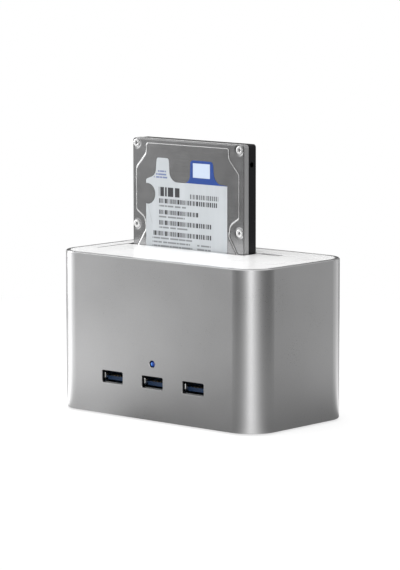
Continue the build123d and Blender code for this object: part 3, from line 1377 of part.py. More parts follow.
def all_parts():
    """Every sub-part by its node's name."""
    parts = {
        "housing_sleeve": housing_sleeve(),
        "top_cover": top_cover(),
        "slot_flap": slot_flap(),
        "flap_hinge_pin": flap_hinge_pin(),
        "flap_spring": flap_spring(),
        "drive_well": drive_well(),
        "base_plate": base_plate(),
        "base_screws": base_screws(),
        "cover_screws": cover_screws(),
        "board_screws": board_screws(),
        "main_board": main_board(),
        "hub_chip": chip(HUB_CHIP, HUB_CHIP_SHARES),
        "bridge_chip": chip(BRIDGE_CHIP, BRIDGE_CHIP_SHARES),
        "flash_chip": chip(FLASH_CHIP, FLASH_CHIP_SHARES),
        "regulator_chip": chip(REGULATOR_CHIP, REGULATOR_CHIP_SHARES),
        "b_socket_shell": b_socket_shell(),
        "b_socket_core": b_socket_core(),
        "b_socket_contacts": b_socket_contacts(),
        "power_jack": power_jack(),
        "power_jack_pin": power_jack_pin(),
        "power_jack_contacts": power_jack_contacts(),
        "power_switch": power_switch(),
        "power_button": power_button(),
        "status_lamp": status_lamp(),
        "lamp_leads": lamp_leads(),
        "dock_connector": dock_connector(),
        "dock_contacts": dock_contacts(),
        "drive_casting": drive_casting(),
        "drive_cover": drive_cover(),
        "drive_cover_screws": drive_cover_screws(),
        "drive_label": drive_label(),
        "drive_board": drive_board(),
        "drive_board_chips": drive_board_chips(),
        "drive_board_screws": drive_board_screws(),
        "drive_plug": drive_plug(),
        "drive_plug_contacts": drive_plug_contacts(),
    }
    for index, (x, y) in enumerate(FOOT_PLACES):
        parts[f"rubber_foot_{index + 1}"] = rubber_foot(x, y)
    for index, shares in enumerate(CRYSTAL_SHARES):
        parts[f"crystal_{index + 1}"] = crystal(*on_board(shares))
    for index, shares in enumerate(INDUCTOR_SHARES):
        parts[f"inductor_{index + 1}"] = inductor(*on_board(shares))
    for index, shares in enumerate(CAPACITOR_SHARES):
        parts[f"capacitor_{index + 1}"] = capacitor(*on_board(shares))
    for index in range(PORT_COUNT):
        parts[f"port_{index + 1}_shell"] = port_shell(index)
        parts[f"port_{index + 1}_tongue"] = port_tongue(index)
        parts[f"port_{index + 1}_contacts"] = port_contacts(index)
    return parts


os.makedirs("parts", exist_ok=True)
for node, shape in all_parts().items():
    export_step(shape, f"parts/{node}.step")
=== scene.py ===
import json
import logging
import math
from dataclasses import dataclass, field
from enum import Enum
from typing import Sequence, Union

import bmesh
import bpy
import numpy as np
from mathutils import Matrix, Vector


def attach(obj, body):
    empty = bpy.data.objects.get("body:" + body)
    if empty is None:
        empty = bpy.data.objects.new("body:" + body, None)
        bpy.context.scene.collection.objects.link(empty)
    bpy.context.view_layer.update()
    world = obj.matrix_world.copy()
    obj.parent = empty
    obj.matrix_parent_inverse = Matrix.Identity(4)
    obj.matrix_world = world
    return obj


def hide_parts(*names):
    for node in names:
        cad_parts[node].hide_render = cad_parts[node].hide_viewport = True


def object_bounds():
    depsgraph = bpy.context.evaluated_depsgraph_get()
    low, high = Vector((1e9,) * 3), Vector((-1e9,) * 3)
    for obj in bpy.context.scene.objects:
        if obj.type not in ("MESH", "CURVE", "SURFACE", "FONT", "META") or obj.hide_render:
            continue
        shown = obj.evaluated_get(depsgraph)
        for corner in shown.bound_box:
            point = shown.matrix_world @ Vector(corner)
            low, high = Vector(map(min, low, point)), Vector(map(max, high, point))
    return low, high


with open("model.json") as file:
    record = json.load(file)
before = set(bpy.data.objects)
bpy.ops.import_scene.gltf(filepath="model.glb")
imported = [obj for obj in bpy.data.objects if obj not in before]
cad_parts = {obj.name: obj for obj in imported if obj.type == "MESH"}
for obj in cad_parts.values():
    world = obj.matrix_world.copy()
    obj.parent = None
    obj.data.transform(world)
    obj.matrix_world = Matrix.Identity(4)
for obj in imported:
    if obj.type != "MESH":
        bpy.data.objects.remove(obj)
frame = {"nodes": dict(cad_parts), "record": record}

log = logging.getLogger("dock")
MM = 0.001
Colour = tuple[float, float, float]
Span = tuple[float, float, float, float]
Row = tuple[float, float, float]
Number = Union[float, "Signal"]
CAD_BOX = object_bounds()


class Lobe(Enum):
    """Kind of ray that a surface of the studio is bright for."""

    SEEN = "Is Camera Ray"
    GLOSSY = "Is Glossy Ray"
    CLEAR = "Is Transmission Ray"


class Grain(Enum):
    """How the surface of a moulded or rolled finish is broken up."""

    SPARK = "spark"
    SMOOTH = "smooth"
    ROLLED_ACROSS = "rolled_across"


class Signal:
    """One output of a shader node, with arithmetic that adds Math nodes."""

    def __init__(self, graph: "Graph", socket: bpy.types.NodeSocket) -> None:
        """Keep the graph and the socket.

        Args:
            graph: Graph that new nodes go into.
            socket: Output socket that carries the number.
        """
        self.graph = graph
        self.socket = socket

    def math(self, operation: str, *values: Number) -> "Signal":
        """Math node with this signal first.

        Args:
            operation: Name of the operation.
            values: Further inputs.

        Returns:
            The node's result.
        """
        return self.graph.math(operation, self, *values)

    def __add__(self, other: Number) -> "Signal":
        """Sum."""
        return self.math("ADD", other)

    def __radd__(self, other: Number) -> "Signal":
        """Sum, number first."""
        return self.math("ADD", other)

    def __sub__(self, other: Number) -> "Signal":
        """Difference."""
        return self.math("SUBTRACT", other)

    def __rsub__(self, other: Number) -> "Signal":
        """Difference, number first."""
        return self.graph.math("SUBTRACT", other, self)

    def __mul__(self, other: Number) -> "Signal":
        """Product."""
        return self.math("MULTIPLY", other)

    def __rmul__(self, other: Number) -> "Signal":
        """Product, number first."""
        return self.math("MULTIPLY", other)

    def __truediv__(self, other: Number) -> "Signal":
        """Quotient."""
        return self.math("DIVIDE", other)

    def __rtruediv__(self, other: Number) -> "Signal":
        """Quotient, number first."""
        return self.graph.math("DIVIDE", other, self)

    def __abs__(self) -> "Signal":
        """Size without its sign."""
        return self.math("ABSOLUTE")

    def swing(self, amount: float) -> "Signal":
        """Noise around 0.5 turned into a change that lies evenly round 0, times an amount."""
        return (self - 0.5) * amount

    def ramp(self, low: float, high: float, to_low: float = 0.0, to_high: float = 1.0) -> "Signal":
        """Smooth step from one value to another.

        Args:
            low: Input at which the result is to_low.
            high: Input at which the result is to_high.
            to_low: First result.
            to_high: Second result.

        Returns:
            The stepped signal.
        """
        settings = {"interpolation_type": "SMOOTHSTEP", "clamp": True}
        sockets = {"Value": self, 1: low, 2: high, 3: to_low, 4: to_high}
        return self.graph.node("ShaderNodeMapRange", settings, sockets).out("Result")

    def inside(self, low: float, high: float, soft: float) -> "Signal":
        """1 between two values and 0 outside, with soft edges.

        Args:
            low: Lower edge.
            high: Upper edge.
            soft: Width of each edge.

        Returns:
            The mask.
        """
        half = soft / 2
        return self.ramp(low - half, low + half) * self.ramp(high - half, high + half, 1.0, 0.0)


class NodeHandle:
    """A node that gives its outputs as signals."""

    def __init__(self, graph: "Graph", node: bpy.types.Node) -> None:
        """Keep the graph and the node."""
        self.graph = graph
        self.node = node

    def out(self, name: Union[str, int] = 0) -> Signal:
        """Output by its name or number."""
        return Signal(self.graph, self.node.outputs[name])


class Graph:
    """Node tree of one material or world."""

    def __init__(self, tree: bpy.types.NodeTree) -> None:
        """Empty the tree.

        Args:
            tree: Tree to build in.
        """
        self.tree = tree
        tree.nodes.clear()

    def node(self, kind: str, settings: dict | None = None, sockets: dict | None = None) -> NodeHandle:
        """Add a node of any type.

        Args:
            kind: Type name of the node.
            settings: Attributes of the node.
            sockets: Inputs by name or number: numbers, colours or signals.

        Returns:
            Handle on the node.
        """
        made = self.tree.nodes.new(kind)
        for name, value in (settings or {}).items():
            setattr(made, name, value)
        for name, value in (sockets or {}).items():
            if isinstance(value, Signal):
                self.tree.links.new(value.socket, made.inputs[name])
            else:
                made.inputs[name].default_value = value
        return NodeHandle(self, made)

    def math(self, operation: str, *values: Number) -> Signal:
        """Math node on numbers and signals.

        Args:
            operation: Name of the operation.
            values: Its inputs in order.

        Returns:
            The node's result.
        """
        return self.node("ShaderNodeMath", {"operation": operation}, dict(enumerate(values))).out()

    def place(self, scale: Sequence[float] = (1.0, 1.0, 1.0)) -> Signal:
        """Object coordinates in millimetres, stretched along each axis.

        Args:
            scale: Factor on each axis.

        Returns:
            The coordinate as a vector signal.
        """
        coordinate = self.node("ShaderNodeTexCoord").out("Object")
        factors = tuple(factor / MM for factor in scale)
        settings = {"operation": "MULTIPLY"}
        return self.node("ShaderNodeVectorMath", settings, {0: coordinate, 1: factors}).out()

    def axes(self) -> tuple[Signal, Signal, Signal]:
        """Object coordinates in millimetres, one signal for each axis."""
        split = self.node("ShaderNodeSeparateXYZ", None, {0: self.place()})
        return split.out(0), split.out(1), split.out(2)

    def join(self, x: Number, y: Number, z: Number) -> Signal:
        """Vector from three numbers."""
        return self.node("ShaderNodeCombineXYZ", None, {0: x, 1: y, 2: z}).out()

    def noise(self, size: float, detail: float = 2.0, vector: Signal | None = None) -> Signal:
        """Noise around 0.5.

        Args:
            size: Size of a grain in the units of the vector.
            detail: Number of finer layers.
            vector: Where it is read, or the object coordinates in millimetres.

        Returns:
            The noise.
        """
        where = self.place() if vector is None else vector
        sockets = {"Vector": where, "Scale": 1.0 / size, "Detail": detail, "Roughness": 0.55}
        return self.node("ShaderNodeTexNoise", None, sockets).out("Fac")

    def blend(self, share: Number, first: Union[Colour, Signal], second: Union[Colour, Signal]) -> Signal:
        """Colour between two colours.

        Args:
            share: How much of the second colour.
            first: Colour at 0.
            second: Colour at 1.

        Returns:
            The mixed colour.
        """
        settings = {"data_type": "RGBA"}
        ends = [end if isinstance(end, Signal) else (*end, 1.0) for end in (first, second)]
        return self.node("ShaderNodeMix", settings, {0: share, 6: ends[0], 7: ends[1]}).out(2)

    def bump(self, height: Signal, depth: float, strength: float = 1.0) -> Signal:
        """Normal from a height.

        Args:
            height: Height signal.
            depth: Height in millimetres that 1 stands for.
            strength: How strongly it turns the normal.

        Returns:
            The normal.
        """
        sockets = {"Height": height, "Distance": depth * MM, "Strength": strength}
        return self.node("ShaderNodeBump", None, sockets).out()

    def finish(self, shader: NodeHandle, output: str = "ShaderNodeOutputMaterial") -> None:
        """Join a shader to the output.

        Args:
            shader: Node whose first output is the surface.
            output: Type name of the output node.
        """
        self.node(output, None, {"Surface": shader.out()})


def principled(graph: Graph, **sockets: Union[float, tuple, Signal]) -> NodeHandle:
    """Principled shader with sockets named by words joined with underscores.

    Args:
        graph: Graph to add it to.
        sockets: Values by name, such as base_color.

    Returns:
        Handle on the shader.
    """
    named = {}
    for name, value in sockets.items():
        if isinstance(value, tuple) and len(value) == 3:
            value = (*value, 1.0)
        named[name.replace("_", " ").title()] = value
    return graph.node("ShaderNodeBsdfPrincipled", None, named)


def scaled(colour: Colour, factor: float) -> Colour:
    """Colour times a factor, with no part above 1."""
    return tuple(min(part * factor, 1.0) for part in colour)


@dataclass(frozen=True)
class Finish:
    """Finish that makes one material."""

    name: str

    def paint(self, graph: Graph) -> NodeHandle:
        """Build the shader; each finish has its own."""
        raise NotImplementedError

    def shade(self, graph: Graph, colour: Signal) -> Signal:
        """Paint shade into the colour at set places; a plain finish leaves it as it is.

        Args:
            graph: Graph to add it to.
            colour: Colour of the finish.

        Returns:
            The shaded colour.
        """
        return colour

    def material(self) -> bpy.types.Material:
        """Material with this finish.

        Returns:
            The new material.
        """
        made = bpy.data.materials.new(self.name)
        made.use_nodes = True
        graph = Graph(made.node_tree)
        graph.finish(self.paint(graph))
        return made


@dataclass(frozen=True)
class BlastedAluminium(Finish):
    """Bead-blasted aluminium under clear anodising, with painted shade on the cut edges in the openings of its front.

    The cut edges are the surfaces behind the front face that lie within a half width of the middle,
    between two heights and no deeper than the wall. Their colour is painted shade, darkened towards near black.
    """

    base: Colour
    roughness: float
    pit: float
    cut_edge_shade: Colour
    front_y: float
    cloud: float = 26.0
    cut_half_w: float = 36.0
    cut_heights: tuple[float, float] = (8.0, 33.0)
    cut_depth: float = 3.0
    cut_shade_share: float = 0.9

    def cut(self, graph: Graph) -> Signal:
        """Mask of the cut edges, where shade is painted."""
        x, y, z = graph.axes()
        deep = self.front_y + self.cut_depth
        behind = y.ramp(self.front_y + 0.04, self.front_y + 0.12) * y.ramp(deep, deep + 1.0, 1.0, 0.0)
        across = abs(x).ramp(self.cut_half_w, self.cut_half_w + 1.0, 1.0, 0.0)
        return behind * across * z.inside(*self.cut_heights, 0.5)

    def paint(self, graph: Graph) -> NodeHandle:
        """Pits from fine noise turn the normal, clouds shift colour and roughness, and the cut edges get painted
        shade.
        """
        fine = graph.noise(self.pit, 3.0)
        coarse = graph.noise(self.pit * 3.5, 2.0)
        clouds = graph.noise(self.cloud, 2.0)
        shade = fine.swing(0.26) + coarse.swing(0.16) + clouds.swing(0.12) + 0.5
        colour = graph.blend(shade.ramp(0.25, 0.75), scaled(self.base, 0.86), scaled(self.base, 1.14))
        # painted shade: the cut edges inside the front openings are darkened towards near black
        colour = graph.blend(self.cut(graph) * self.cut_shade_share, colour, self.cut_edge_shade)
        rough = coarse.swing(0.1) + clouds.swing(0.05) + self.roughness
        normal = graph.bump(fine * 0.6 + coarse * 0.4, 0.01, 0.35)
        return principled(graph, base_color=colour, metallic=1.0, roughness=rough, normal=normal)


@dataclass(frozen=True)
class Moulding(Finish):
    """Injection-moulded plastic or rubber."""

    base: Colour
    roughness: float
    grain: Grain = Grain.SPARK
    coat: float = 0.0
    variation: float = 0.1
    flow: float = 19.0

    def paint(self, graph: Graph) -> NodeHandle:
        """Spark texture or faint flow marks on the tool's face."""
        spark = self.grain is Grain.SPARK
        size, share, depth, strength = (0.28, 0.3, 0.03, 0.4) if spark else (0.9, 0.04, 0.006, 0.15)
        small = graph.noise(size, 3.0)
        flow = graph.noise(self.flow, 2.0)
        mix = small.swing(share) + flow.swing(0.12) + 0.5
        dark, light = scaled(self.base, 1.0 - self.variation), scaled(self.base, 1.0 + self.variation)
        colour = self.shade(graph, graph.blend(mix, dark, light))
        rough = flow.swing(0.08) + small.swing(0.1) + self.roughness
        normal = graph.bump(small, depth, strength)
        return principled(
            graph, base_color=colour, roughness=rough, normal=normal, coat_weight=self.coat, coat_roughness=0.06
        )


@dataclass(frozen=True)
class Plated(Finish):
    """Plated or rolled metal with fine lines along one direction."""

    base: Colour
    roughness: float
    grain: Grain = Grain.SMOOTH
    line: float = 0.4
    mark: float = 7.0

    def paint(self, graph: Graph) -> NodeHandle:
        """Stretched noise gives the rolling lines, wide noise the handling marks."""
        stretch = (0.05, 1.0, 2.4) if self.grain is Grain.ROLLED_ACROSS else (1.0, 1.0, 1.0)
        lines = graph.noise(self.line, 2.0, graph.place(stretch))
        marks = graph.noise(self.mark, 3.0)
        mix = lines.swing(0.7) + marks.swing(0.4) + 0.5
        colour = self.shade(graph, graph.blend(mix, scaled(self.base, 0.86), scaled(self.base, 1.1)))
        rough = marks.swing(0.14) + lines.swing(0.1) + self.roughness
        normal = graph.bump(lines, 0.006, 0.3)
        return principled(graph, base_color=colour, metallic=1.0, roughness=rough, normal=normal)


@dataclass(frozen=True)
class ShadedSeamGloss(Moulding):
    """Gloss plastic with painted shade along the seam at one end of the slot."""

    seam_x: float = -52.8
    seam_w: float = 0.55
    seam_y: tuple[float, float] = (-15.0, 17.4)
    seam_shade_share: float = 0.92
    gap_shade: Colour = (0.03, 0.03, 0.03)

    def shade(self, graph: Graph, colour: Signal) -> Signal:
        """Painted shade: a band along Y round the gap's middle, darkened towards near black."""
        x, y, _ = graph.axes()
        seam = abs(x - self.seam_x).ramp(self.seam_w, self.seam_w + 0.1, 1.0, 0.0) * y.inside(*self.seam_y, 0.3)
        # painted shade in and beside the gap at the slot's left end
        return graph.blend(seam * self.seam_shade_share, colour, self.gap_shade)


@dataclass(frozen=True)
class FoldedSheet(Plated):
    """Rolled sheet with painted shade on its folded rim, at its left side and its top."""

    left: float = -50.0
    top: float = 127.0
    fold: float = 0.4
    fold_shade_share: float = 0.85
    fold_shade: Colour = (0.02, 0.02, 0.02)

    def shade(self, graph: Graph, colour: Signal) -> Signal:
        """Painted shade on the rim: the strips that lie within a fold's width of the left side and of the top."""
        x, _, z = graph.axes()
        side = x.ramp(self.left + self.fold * 0.6, self.left + self.fold, 1.0, 0.0)
        over = z.ramp(self.top - self.fold * 0.4, self.top - self.fold * 0.1)
        rim = side.math("MAXIMUM", over)
        # painted shade: the rim strips are darkened towards near black
        return graph.blend(rim * self.fold_shade_share, colour, self.fold_shade)


@dataclass(frozen=True)
class SolderMask(Finish):
    """Green solder mask with copper tracks under it."""

    base: Colour
    block: float = 7.0
    pitch: float = 1.1

    def paint(self, graph: Graph) -> NodeHandle:
        """Tracks: parallel runs along Z that step aside at 45 degrees, in blocks with bare board between."""
        x, _, z = graph.axes()
        jog = z.math("PINGPONG", self.block).ramp(self.block * 0.35, self.block * 0.65, 0.0, self.block * 0.3)
        aside = x + jog
        tracks = (aside * (math.tau / self.pitch)).math("SINE").ramp(0.1, 0.4)
        block = aside.math("PINGPONG", self.block * 1.3).ramp(self.block * 0.5, self.block * 0.52)
        light = tuple(min(part * 1.35 + 0.004, 1.0) for part in self.base)
        copper = tracks * block
        colour = graph.blend(copper, self.base, light)
        normal = graph.bump(copper, 0.03, 0.4)
        return principled(
            graph, base_color=colour, roughness=0.28, normal=normal, coat_weight=0.3, coat_roughness=0.1
        )


@dataclass(frozen=True)
class LitLamp(Finish):
    """Clear coloured lamp, lit from within."""

    base: Colour
    rim: Colour
    glow: Colour
    middle_z: float = 27.3
    die_aside: float = 0.45
    die_reach: tuple[float, float] = (0.15, 1.15)

    def paint(self, graph: Graph) -> NodeHandle:
        """Brightest beside its middle, where the die sits, and dark towards its rim."""
        x, _, z = graph.axes()
        height = z - self.middle_z
        aside = x + self.die_aside
        radius = (aside * aside + height * height).math("SQRT")
        heart = radius.ramp(*self.die_reach, 1.0, 0.0)
        emission = graph.blend(heart, self.rim, self.glow)
        return principled(
            graph, base_color=self.base, roughness=0.12, emission_color=emission, emission_strength=1.0
        )


@dataclass(frozen=True)
class CastBody(Finish):
    """Cast aluminium of the drive: bare flange at the front, black coat behind it."""

    bare: Colour
    coat: Colour
    machined: Colour
    edge_y: float
    top: float
    roughness: float = 0.36
    pit: float = 0.35

    def paint(self, graph: Graph) -> NodeHandle:
        """The coat starts where the flange ends, the flange's top is machined bright, and cast pits run over all."""
        _, y, z = graph.axes()
        pits = graph.noise(self.pit, 3.0)
        coated = y.ramp(self.edge_y - 0.08, self.edge_y + 0.08)
        bare = graph.blend(pits, scaled(self.bare, 0.8), self.bare)
        bare = graph.blend(z.ramp(self.top - 0.2, self.top - 0.05), bare, self.machined)
        colour = graph.blend(coated, bare, self.coat)
        rough = pits.swing(0.2) + self.roughness - coated * 0.06
        normal = graph.bump(pits, 0.03, 0.5)
        return principled(graph, base_color=colour, metallic=1.0, roughness=rough, normal=normal)


@dataclass(frozen=True)
class PrintedLabel(Finish):
    """Pale printed film: bars, dashes and a blue tab with a bare pale field, and no words.

    Spans are left, right, top and bottom, and rows are left, right and top, all in millimetres from
    the drive's upper left corner. A crease runs down from its start with a slope.
    """

    paper: Colour
    ink: Colour
    tab: Colour
    field_tint: Colour
    crease_shade: Colour
    left: float
    top: float
    bold_bars: Span = (17.2, 30.4, 22.7, 27.1)
    pale_bars: Span = (36.8, 54.8, 25.1, 27.3)
    bars: tuple[Span, ...] = (
        (17.2, 54.0, 28.2, 30.4), (17.4, 42.6, 33.6, 35.7), (17.4, 50.8, 38.6, 40.8), (13.4, 50.8, 43.8, 46.0),
    )
    rows: tuple[Row, ...] = (
        (17.2, 34.5, 31.2), (17.2, 33.7, 36.4), (17.2, 35.4, 41.5), (13.0, 38.3, 46.7),
        (13.0, 37.0, 48.6), (41.5, 50.0, 48.6), (13.0, 38.5, 50.4), (41.5, 50.0, 50.4),
    )
    blue_rows: tuple[Row, ...] = ((16.6, 21.8, 14.7), (15.4, 22.6, 16.2), (14.0, 22.6, 17.6))
    row_h: float = 0.8
    tab_left: float = 31.9
    tab_bottom: float = 20.0
    pale_field: Span = (38.9, 49.5, 10.2, 17.0)
    crease: tuple[float, float] = (10.0, 31.3)
    crease_slope: float = 3.17
    crease_end: float = 40.5

    def box(self, span: Span, x: Signal, z: Signal, soft: float = 0.16) -> Signal:
        """Mask of an upright rectangle on the drive's face.

        Args:
            span: Left, right, top and bottom.
            x: Millimetres along X.
            z: Millimetres along Z.
            soft: Width of its edges.

        Returns:
            The mask.
        """
        left, right, top, bottom = span
        across = x.inside(self.left + left, self.left + right, soft)
        return across * z.inside(self.top - bottom, self.top - top, soft)

    def dashes(self, graph: Graph, x: Signal, z: Signal, rows: Sequence[Row]) -> Signal:
        """Rows of plain dashes: in each, noise along X passes a threshold.

        Args:
            graph: Graph to add it to.
            x: Millimetres along X.
            z: Millimetres along Z.
            rows: Left, right and top of each row.

        Returns:
            The mask.
        """
        total: Number = 0.0
        for number, (left, right, top) in enumerate(rows):
            broken = graph.noise(1.5, 0.0, graph.join(x, number * 9.0, 0.0)).ramp(0.36, 0.4)
            total = self.box((left, right, top + 0.1, top + 0.1 + self.row_h), x, z) * broken + total
        return total

    def print(self, graph: Graph, x: Signal, z: Signal) -> Signal:
        """Dark print: bars where noise along X passes a threshold, and rows of dashes.

        Args:
            graph: Graph to add it to.
            x: Millimetres along X.
            z: Millimetres along Z.

        Returns:
            The mask.
        """
        along = graph.join(x, 0.0, 0.0)
        bars = graph.noise(0.62, 0.0, along).ramp(0.46, 0.5)
        bold = graph.noise(1.5, 0.0, along).ramp(0.4, 0.43)
        total = self.box(self.bold_bars, x, z) * bold + self.box(self.pale_bars, x, z) * bars * 0.8
        for span in self.bars:
            total = total + self.box(span, x, z) * bars
        return (total + self.dashes(graph, x, z, self.rows) * 0.62).math("MINIMUM", 1.0)

    def fold(self, x: Signal, z: Signal) -> Signal:
        """Crease: a band where the distance to its line, (run * slope - fall) / hypot(1, slope), is small; it feeds
        the crease's bump and its painted shade.

        Args:
            x: Millimetres along X.
            z: Millimetres along Z.

        Returns:
            The mask.
        """
        across, down = self.crease
        distance = ((x - self.left - across) * self.crease_slope - (self.top - down - z)) * 0.3
        reach = z.inside(self.top - self.crease_end, self.top - down + 0.3, 1.5)
        return abs(distance).ramp(0.0, 0.35, 1.0, 0.0) * reach

    def paint(self, graph: Graph) -> NodeHandle:
        """Print over the paper, then the tab and its pale field, then painted shade and a bump along the crease."""
        x, _, z = graph.axes()
        beside = x.ramp(self.left + self.tab_left, self.left + self.tab_left + 0.2)
        tab = beside * z.ramp(self.top - self.tab_bottom, self.top - self.tab_bottom + 0.2)
        pale = self.box(self.pale_field, x, z)
        streaks = graph.noise(5.0, 2.0, graph.join(x, 0.0, z * 0.15))
        paper = graph.blend(streaks.ramp(0.3, 0.7), scaled(self.paper, 0.93), self.paper)
        printed = graph.blend(self.print(graph, x, z), paper, self.ink)
        printed = graph.blend(self.dashes(graph, x, z, self.blue_rows) * 0.7, printed, self.tab)
        printed = graph.blend(tab * (1.0 - pale), printed, self.tab)
        printed = graph.blend(tab * pale, printed, self.field_tint)
        fold = self.fold(x, z)
        # painted shade along the crease
        printed = graph.blend(fold * 0.35, printed, self.crease_shade)
        normal = graph.bump(graph.noise(4.0, 1.0) + fold * 0.6, 0.03, 0.25)
        return principled(
            graph, base_color=printed, roughness=0.34, normal=normal, coat_weight=0.12, coat_roughness=0.15
        )


ALUMINIUM = BlastedAluminium("satin_aluminium", (0.5, 0.5, 0.503), 0.3, 0.1, (0.03, 0.03, 0.03), -34.5)
WHITE = ShadedSeamGloss("white_gloss", (0.94, 0.94, 0.94), 0.2, Grain.SMOOTH, 0.4, 0.03)
DARK = Moulding("dark_plastic", (0.045, 0.045, 0.048), 0.5)
BLACK = Moulding("black_plastic", (0.014, 0.014, 0.015), 0.38)
BUTTON = Moulding("button_grey", (0.16, 0.16, 0.165), 0.35, Grain.SMOOTH)
RUBBER = Moulding("rubber", (0.022, 0.022, 0.022), 0.72)
STEEL = Plated("steel", (0.6, 0.6, 0.6), 0.26)
SHELL_STEEL = Plated("socket_steel", (0.62, 0.62, 0.61), 0.2, Grain.ROLLED_ACROSS)
SOCKET_BLUE = Moulding("socket_blue", (0.001, 0.022, 0.07), 0.55, Grain.SMOOTH)
GOLD = Plated("gold", (0.34, 0.27, 0.16), 0.4)
BOARD = SolderMask("board_green", (0.006, 0.075, 0.035))
CHIP = Moulding("chip_black", (0.018, 0.018, 0.02), 0.42)
CAN = Plated("can_metal", (0.62, 0.62, 0.64), 0.3, Grain.ROLLED_ACROSS)
LAMP = LitLamp("lamp_blue", (0.004, 0.02, 0.12), (0.002, 0.012, 0.09), (0.06, 0.24, 0.75))
CASTING = CastBody("drive_cast", (0.47, 0.47, 0.474), (0.02, 0.02, 0.022), (0.95, 0.95, 0.95), 11.1, 127.2)
LID = FoldedSheet("drive_lid", (0.3, 0.3, 0.303), 0.2, Grain.ROLLED_ACROSS)
BRIGHT = Plated("bright_screw", (0.74, 0.74, 0.74), 0.32)
LABEL = PrintedLabel(
    "label_paper", paper=(0.44, 0.465, 0.485), ink=(0.022, 0.022, 0.026), tab=(0.004, 0.04, 0.22),
    field_tint=(0.46, 0.53, 0.64), crease_shade=(0.2, 0.2, 0.21), left=-50.2, top=127.2,
)
FINISHES = (
    ALUMINIUM, WHITE, DARK, BLACK, BUTTON, RUBBER, STEEL, SHELL_STEEL, SOCKET_BLUE, GOLD, BOARD, CHIP, CAN, LAMP,
    CASTING, LID, BRIGHT, LABEL,
)


@dataclass
class CarriedNodes:
    """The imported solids, which keep their shapes and get the finishes of their slots."""

    finishes: Sequence[Finish]
    materials: dict[str, bpy.types.Material] = field(default_factory=dict)

    def dress(self) -> None:
        """Give every node the material of its slot."""
        self.materials = {finish.name: finish.material() for finish in self.finishes}
        slots = {part["node"]: part["material_slot"] for part in frame["record"]["subparts"]}
        for node, piece in frame["nodes"].items():
            piece.data.materials.clear()
            piece.data.materials.append(self.materials[slots[node]])
            log.info("%s dressed as %s", node, slots[node])


def quads(rows: int, columns: int, wrap: bool) -> np.ndarray:
    """Faces of a grid of points, row by row.

    Args:
        rows: Number of rows.
        columns: Number of columns.
        wrap: Whether the last column joins the first.

    Returns:
        Corner numbers, four for each face.
    """
    row = np.arange(rows - 1)[:, None] * columns
    column = np.arange(columns if wrap else columns - 1)[None, :]
    following = (column + 1) % columns
    corners = (row + column, row + following, row + columns + following, row + columns + column)
    return np.stack(corners, axis=-1).reshape(-1, 4)


def grid_piece(name: str, patches: np.ndarray, wrap: bool, material: bpy.types.Material) -> bpy.types.Object:
    """Object made of grids of points that share one layout.

    Args:
        name: Name of the piece.
        patches: Points in millimetres, as patch, row, column and axis.
        wrap: Whether each patch's last column joins its first.
        material: Material of the piece.

    Returns:
        The object, with doubled points at poles merged.
    """
    count, rows, columns, _ = patches.shape
    faces = quads(rows, columns, wrap)
    shift = np.arange(count)[:, None, None] * rows * columns
    corners = (faces[None] + shift).reshape(-1, 4)
    mesh = bpy.data.meshes.new(name)
    mesh.from_pydata((patches.reshape(-1, 3) * MM).tolist(), [], corners.tolist())
    work = bmesh.new()
    work.from_mesh(mesh)
    bmesh.ops.remove_doubles(work, verts=work.verts, dist=1e-7)
    bmesh.ops.dissolve_degenerate(work, edges=work.edges, dist=1e-8)
    work.to_mesh(mesh)
    work.free()
    mesh.materials.append(material)
    mesh.polygons.foreach_set("use_smooth", np.ones(len(mesh.polygons), dtype=bool))
    piece = bpy.data.objects.new(name, mesh)
    bpy.context.collection.objects.link(piece)
    log.info("%s has %d faces", name, len(mesh.polygons))
    return piece


def thicken(piece: bpy.types.Object, sheet: float) -> None:
    """Give a surface a wall that lies so many millimetres behind it."""
    wall = piece.modifiers.new("sheet", "SOLIDIFY")
    wall.thickness = sheet * MM
    wall.offset = -1.0


def smoothstep(value: np.ndarray, low: float, high: float) -> np.ndarray:
    """Smooth rise from 0 at low to 1 at high: t * t * (3 - 2t)."""
    t = np.clip((value - low) / (high - low), 0.0, 1.0)
    return t * t * (3.0 - 2.0 * t)


def rounded(corners: np.ndarray, radii: np.ndarray) -> np.ndarray:
    """Round the corners of a closed outline.

    Each corner becomes a curve from the point r * tan(turn / 2) before it to the point as far past
    it: (1 - t) squared of the first, 2t(1 - t) of the corner and t squared of the last.

    Args:
        corners: Corner points.
        radii: Radius at each corner.

    Returns:
        The rounded outline.
    """
    back = np.roll(corners, 1, axis=0) - corners
    ahead = np.roll(corners, -1, axis=0) - corners
    back /= np.hypot(back[:, 0], back[:, 1])[:, None]
    ahead /= np.hypot(ahead[:, 0], ahead[:, 1])[:, None]
    turn = np.pi - np.arccos(np.clip((back * ahead).sum(axis=1), -1.0, 1.0))
    reach = (radii * np.tan(turn / 2))[:, None, None]
    t = np.linspace(0.0, 1.0, 9)[None, :, None]
    points = corners[:, None] + reach * ((1 - t) ** 2 * back[:, None] + t**2 * ahead[:, None])
    return points.reshape(-1, 2)


def signed_distance(x: np.ndarray, z: np.ndarray, outline: np.ndarray) -> np.ndarray:
    """Distance to a closed outline, positive inside it.

    The distance to each side is the distance to the nearest point of it, and a point is inside
    where a line from it crosses the sides an odd number of times.

    Args:
        x: First coordinates.
        z: Second coordinates.
        outline: Points of the outline.

    Returns:
        The signed distances.
    """
    start, end = outline, np.roll(outline, -1, axis=0)
    best = np.full(x.shape, 1e9)
    odd = np.zeros(x.shape, dtype=bool)
    for (ax, az), (bx, bz) in zip(start, end):
        share = ((x - ax) * (bx - ax) + (z - az) * (bz - az)) / max((bx - ax) ** 2 + (bz - az) ** 2, 1e-12)
        share = np.clip(share, 0.0, 1.0)
        best = np.minimum(best, np.hypot(x - ax - share * (bx - ax), z - az - share * (bz - az)))
        if az != bz:
            crosses = ((az > z) != (bz > z)) & (x < (bx - ax) * (z - az) / (bz - az) + ax)
            odd ^= crosses
    return np.where(odd, best, -best)


